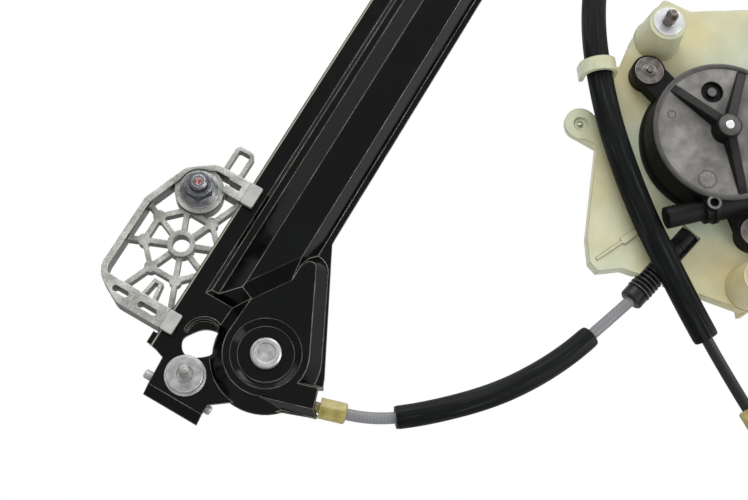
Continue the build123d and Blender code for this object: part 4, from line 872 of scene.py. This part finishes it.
def bead_ring(name, x, z, height, radius, half, rise, material, petals=0, swing=0.0):
    """Closed ring: r = radius + swing cos(petals t) + half cos u, h = height + rise sin u."""
    section = np.linspace(0, 2 * np.pi, 13)[:, None]
    turn = np.linspace(0, 2 * np.pi, 144, endpoint=False)[None, :]
    reach = radius + swing * np.cos(petals * turn) + half * np.cos(section)
    front = height + rise * np.sin(section) + 0 * turn
    points = np.stack([x + reach * np.cos(turn), seat_height - front, z + reach * np.sin(turn)],
                      axis=-1) * mm
    rows, columns = reach.shape
    row, column = np.meshgrid(np.arange(rows - 1), np.arange(columns), indexing="ij")
    after, beside = (row + 1) % (rows - 1), (column + 1) % columns
    quads = np.stack([row * columns + column, row * columns + beside,
                      after * columns + beside, after * columns + column], axis=-1)
    riding_mesh(name, points[:-1], quads.reshape(-1, 4).tolist(), material, "regulator")


# Y where dust starts and is full, and where it thins out towards the hub
dust_starts, dust_full = -19.2, -19.7
hub_starts, hub_full = -25.0, -27.0
hub_dust = 0.45
paint(["gear_housing"], dusty_polyamide())
gear_axis = (159.5, 225.5)
ejector_place = (133.9, 219.9)
mould_clock = (163.1, 199.6)
gear_face = 24.0
hub_face = 32.5
dark_rim = highlit_edge_polyamide()
bead_ring("gear_rim", *gear_axis, gear_face, 33.2, 1.3, 0.8, dark_rim)
bead_ring("ejector_ring", *ejector_place, gear_face, 1.9, 0.22, 0.2, dark_rim)
bead_ring("mould_clock_rim", *mould_clock, gear_face, 4.3, 0.2, 0.2, dark_rim)
bead_ring("mould_clock_petals", *mould_clock, gear_face, 2.8, 0.24, 0.25, cast_mark(),
          petals=10, swing=0.5)
peen = np.array([hub_face - 0.2, hub_face + 0.35, hub_face + 0.6])
peen_radius = np.array([2.0, 2.0, 1.4])[:, None]
tube_mesh("peened_pin_end", turned_points(*gear_axis, peen_radius, peen), polished_steel(), "regulator")
paint(["motor_can"], drawn_steel())


# ---------------------------------------------------------------- floor, light and camera
# A pale floor card well below the part, two soft lamps in front of it, and a white room.  Three
# strips at the left, the right and the top show in reflections only.
def white_floor():
    """Matt white card."""
    material, _ = new_material("white_card")
    shader = add_node(material, "ShaderNodeBsdfDiffuse", {"Color": linear("#f2f2f2")})
    add_node(material, "ShaderNodeOutputMaterial", {"Surface": shader.outputs["BSDF"]})
    return material


floor_z = -0.42
floor_size = 6.0
floor_mesh = bpy.data.meshes.new("floor")
corners = np.array([(-1, -1), (1, -1), (1, 1), (-1, 1)]) * floor_size
floor_mesh.from_pydata([(x, y, floor_z) for x, y in corners], [], [(0, 1, 2, 3)])
floor = bpy.data.objects.new("floor", floor_mesh)
floor_mesh.materials.append(white_floor())
bpy.context.scene.collection.objects.link(floor)

# The camera, reflections and whatever is seen through glass get plain white; the light that
# the room throws on the part is lower.
shown_light = 1.0
room_light = 0.62
world = bpy.data.worlds.new("studio")
bpy.context.scene.world = world
world.use_nodes = True
world.node_tree.nodes.clear()
path = add_node(world, "ShaderNodeLightPath").outputs
seen = add_node(world, "ShaderNodeMath", {0: path["Is Camera Ray"], 1: path["Is Transmission Ray"]},
                operation="MAXIMUM")
shown = add_node(world, "ShaderNodeMath", {0: seen.outputs[0], 1: path["Is Glossy Ray"]},
                 operation="MAXIMUM")
strength = add_node(world, "ShaderNodeMapRange",
                    {"Value": shown.outputs[0], "To Min": room_light, "To Max": shown_light})
white = add_node(world, "ShaderNodeBackground",
                 {"Color": linear("#ffffff"), "Strength": strength.outputs["Result"]})
add_node(world, "ShaderNodeOutputWorld", {"Surface": white.outputs["Background"]})


def lamp(name, place, target, width, height, power):
    """Oblong soft lamp aimed at a point."""
    data = bpy.data.lights.new(name, "AREA")
    data.shape = "RECTANGLE"
    data.size = width
    data.size_y = height
    data.energy = power
    made = bpy.data.objects.new(name, data)
    made.location = place
    made.rotation_mode = "QUATERNION"
    made.rotation_quaternion = (Vector(target) - Vector(place)).to_track_quat("-Z", "Y")
    bpy.context.scene.collection.objects.link(made)
    return made


middle = (0.12, 0.0, 0.25)
lamp("key_lamp", (-0.7, -1.1, 1.1), middle, 0.8, 0.8, 9.0)
lamp("fill_lamp", (1.2, -1.0, 0.2), middle, 0.6, 0.6, 4.0)
for name, place, width, height, power in (
    ("left_strip", (-1.26, -0.45, 0.67), 0.3, 1.2, 4.0),
    ("right_strip", (1.47, -0.50, 0.67), 0.2, 1.2, 17.0),
    ("top_strip", (0.0, -0.43, 1.60), 1.0, 0.25, 14.0),
):
    strip = lamp(name, place, middle, width, height, power)
    strip.visible_diffuse = False

scene = bpy.context.scene
scene.view_settings.view_transform = "Standard"
camera_data = bpy.data.cameras.new("camera")
camera_data.lens = 69.9
camera_data.sensor_width = 36.0
camera = bpy.data.objects.new("camera", camera_data)
# the view's axes and the camera's place, in millimetres
right = Vector((0.8655, -0.0718, 0.4959))
up = Vector((-0.4946, -0.2800, 0.8228))
away = Vector((-0.0798, 0.9573, 0.2778))
turn = Matrix((right, up, -away)).transposed().to_4x4()
camera_place = Vector((98.6, -649.7, -93.8)) * mm
camera.matrix_world = Matrix.Translation(camera_place) @ turn
scene.collection.objects.link(camera)
scene.camera = camera
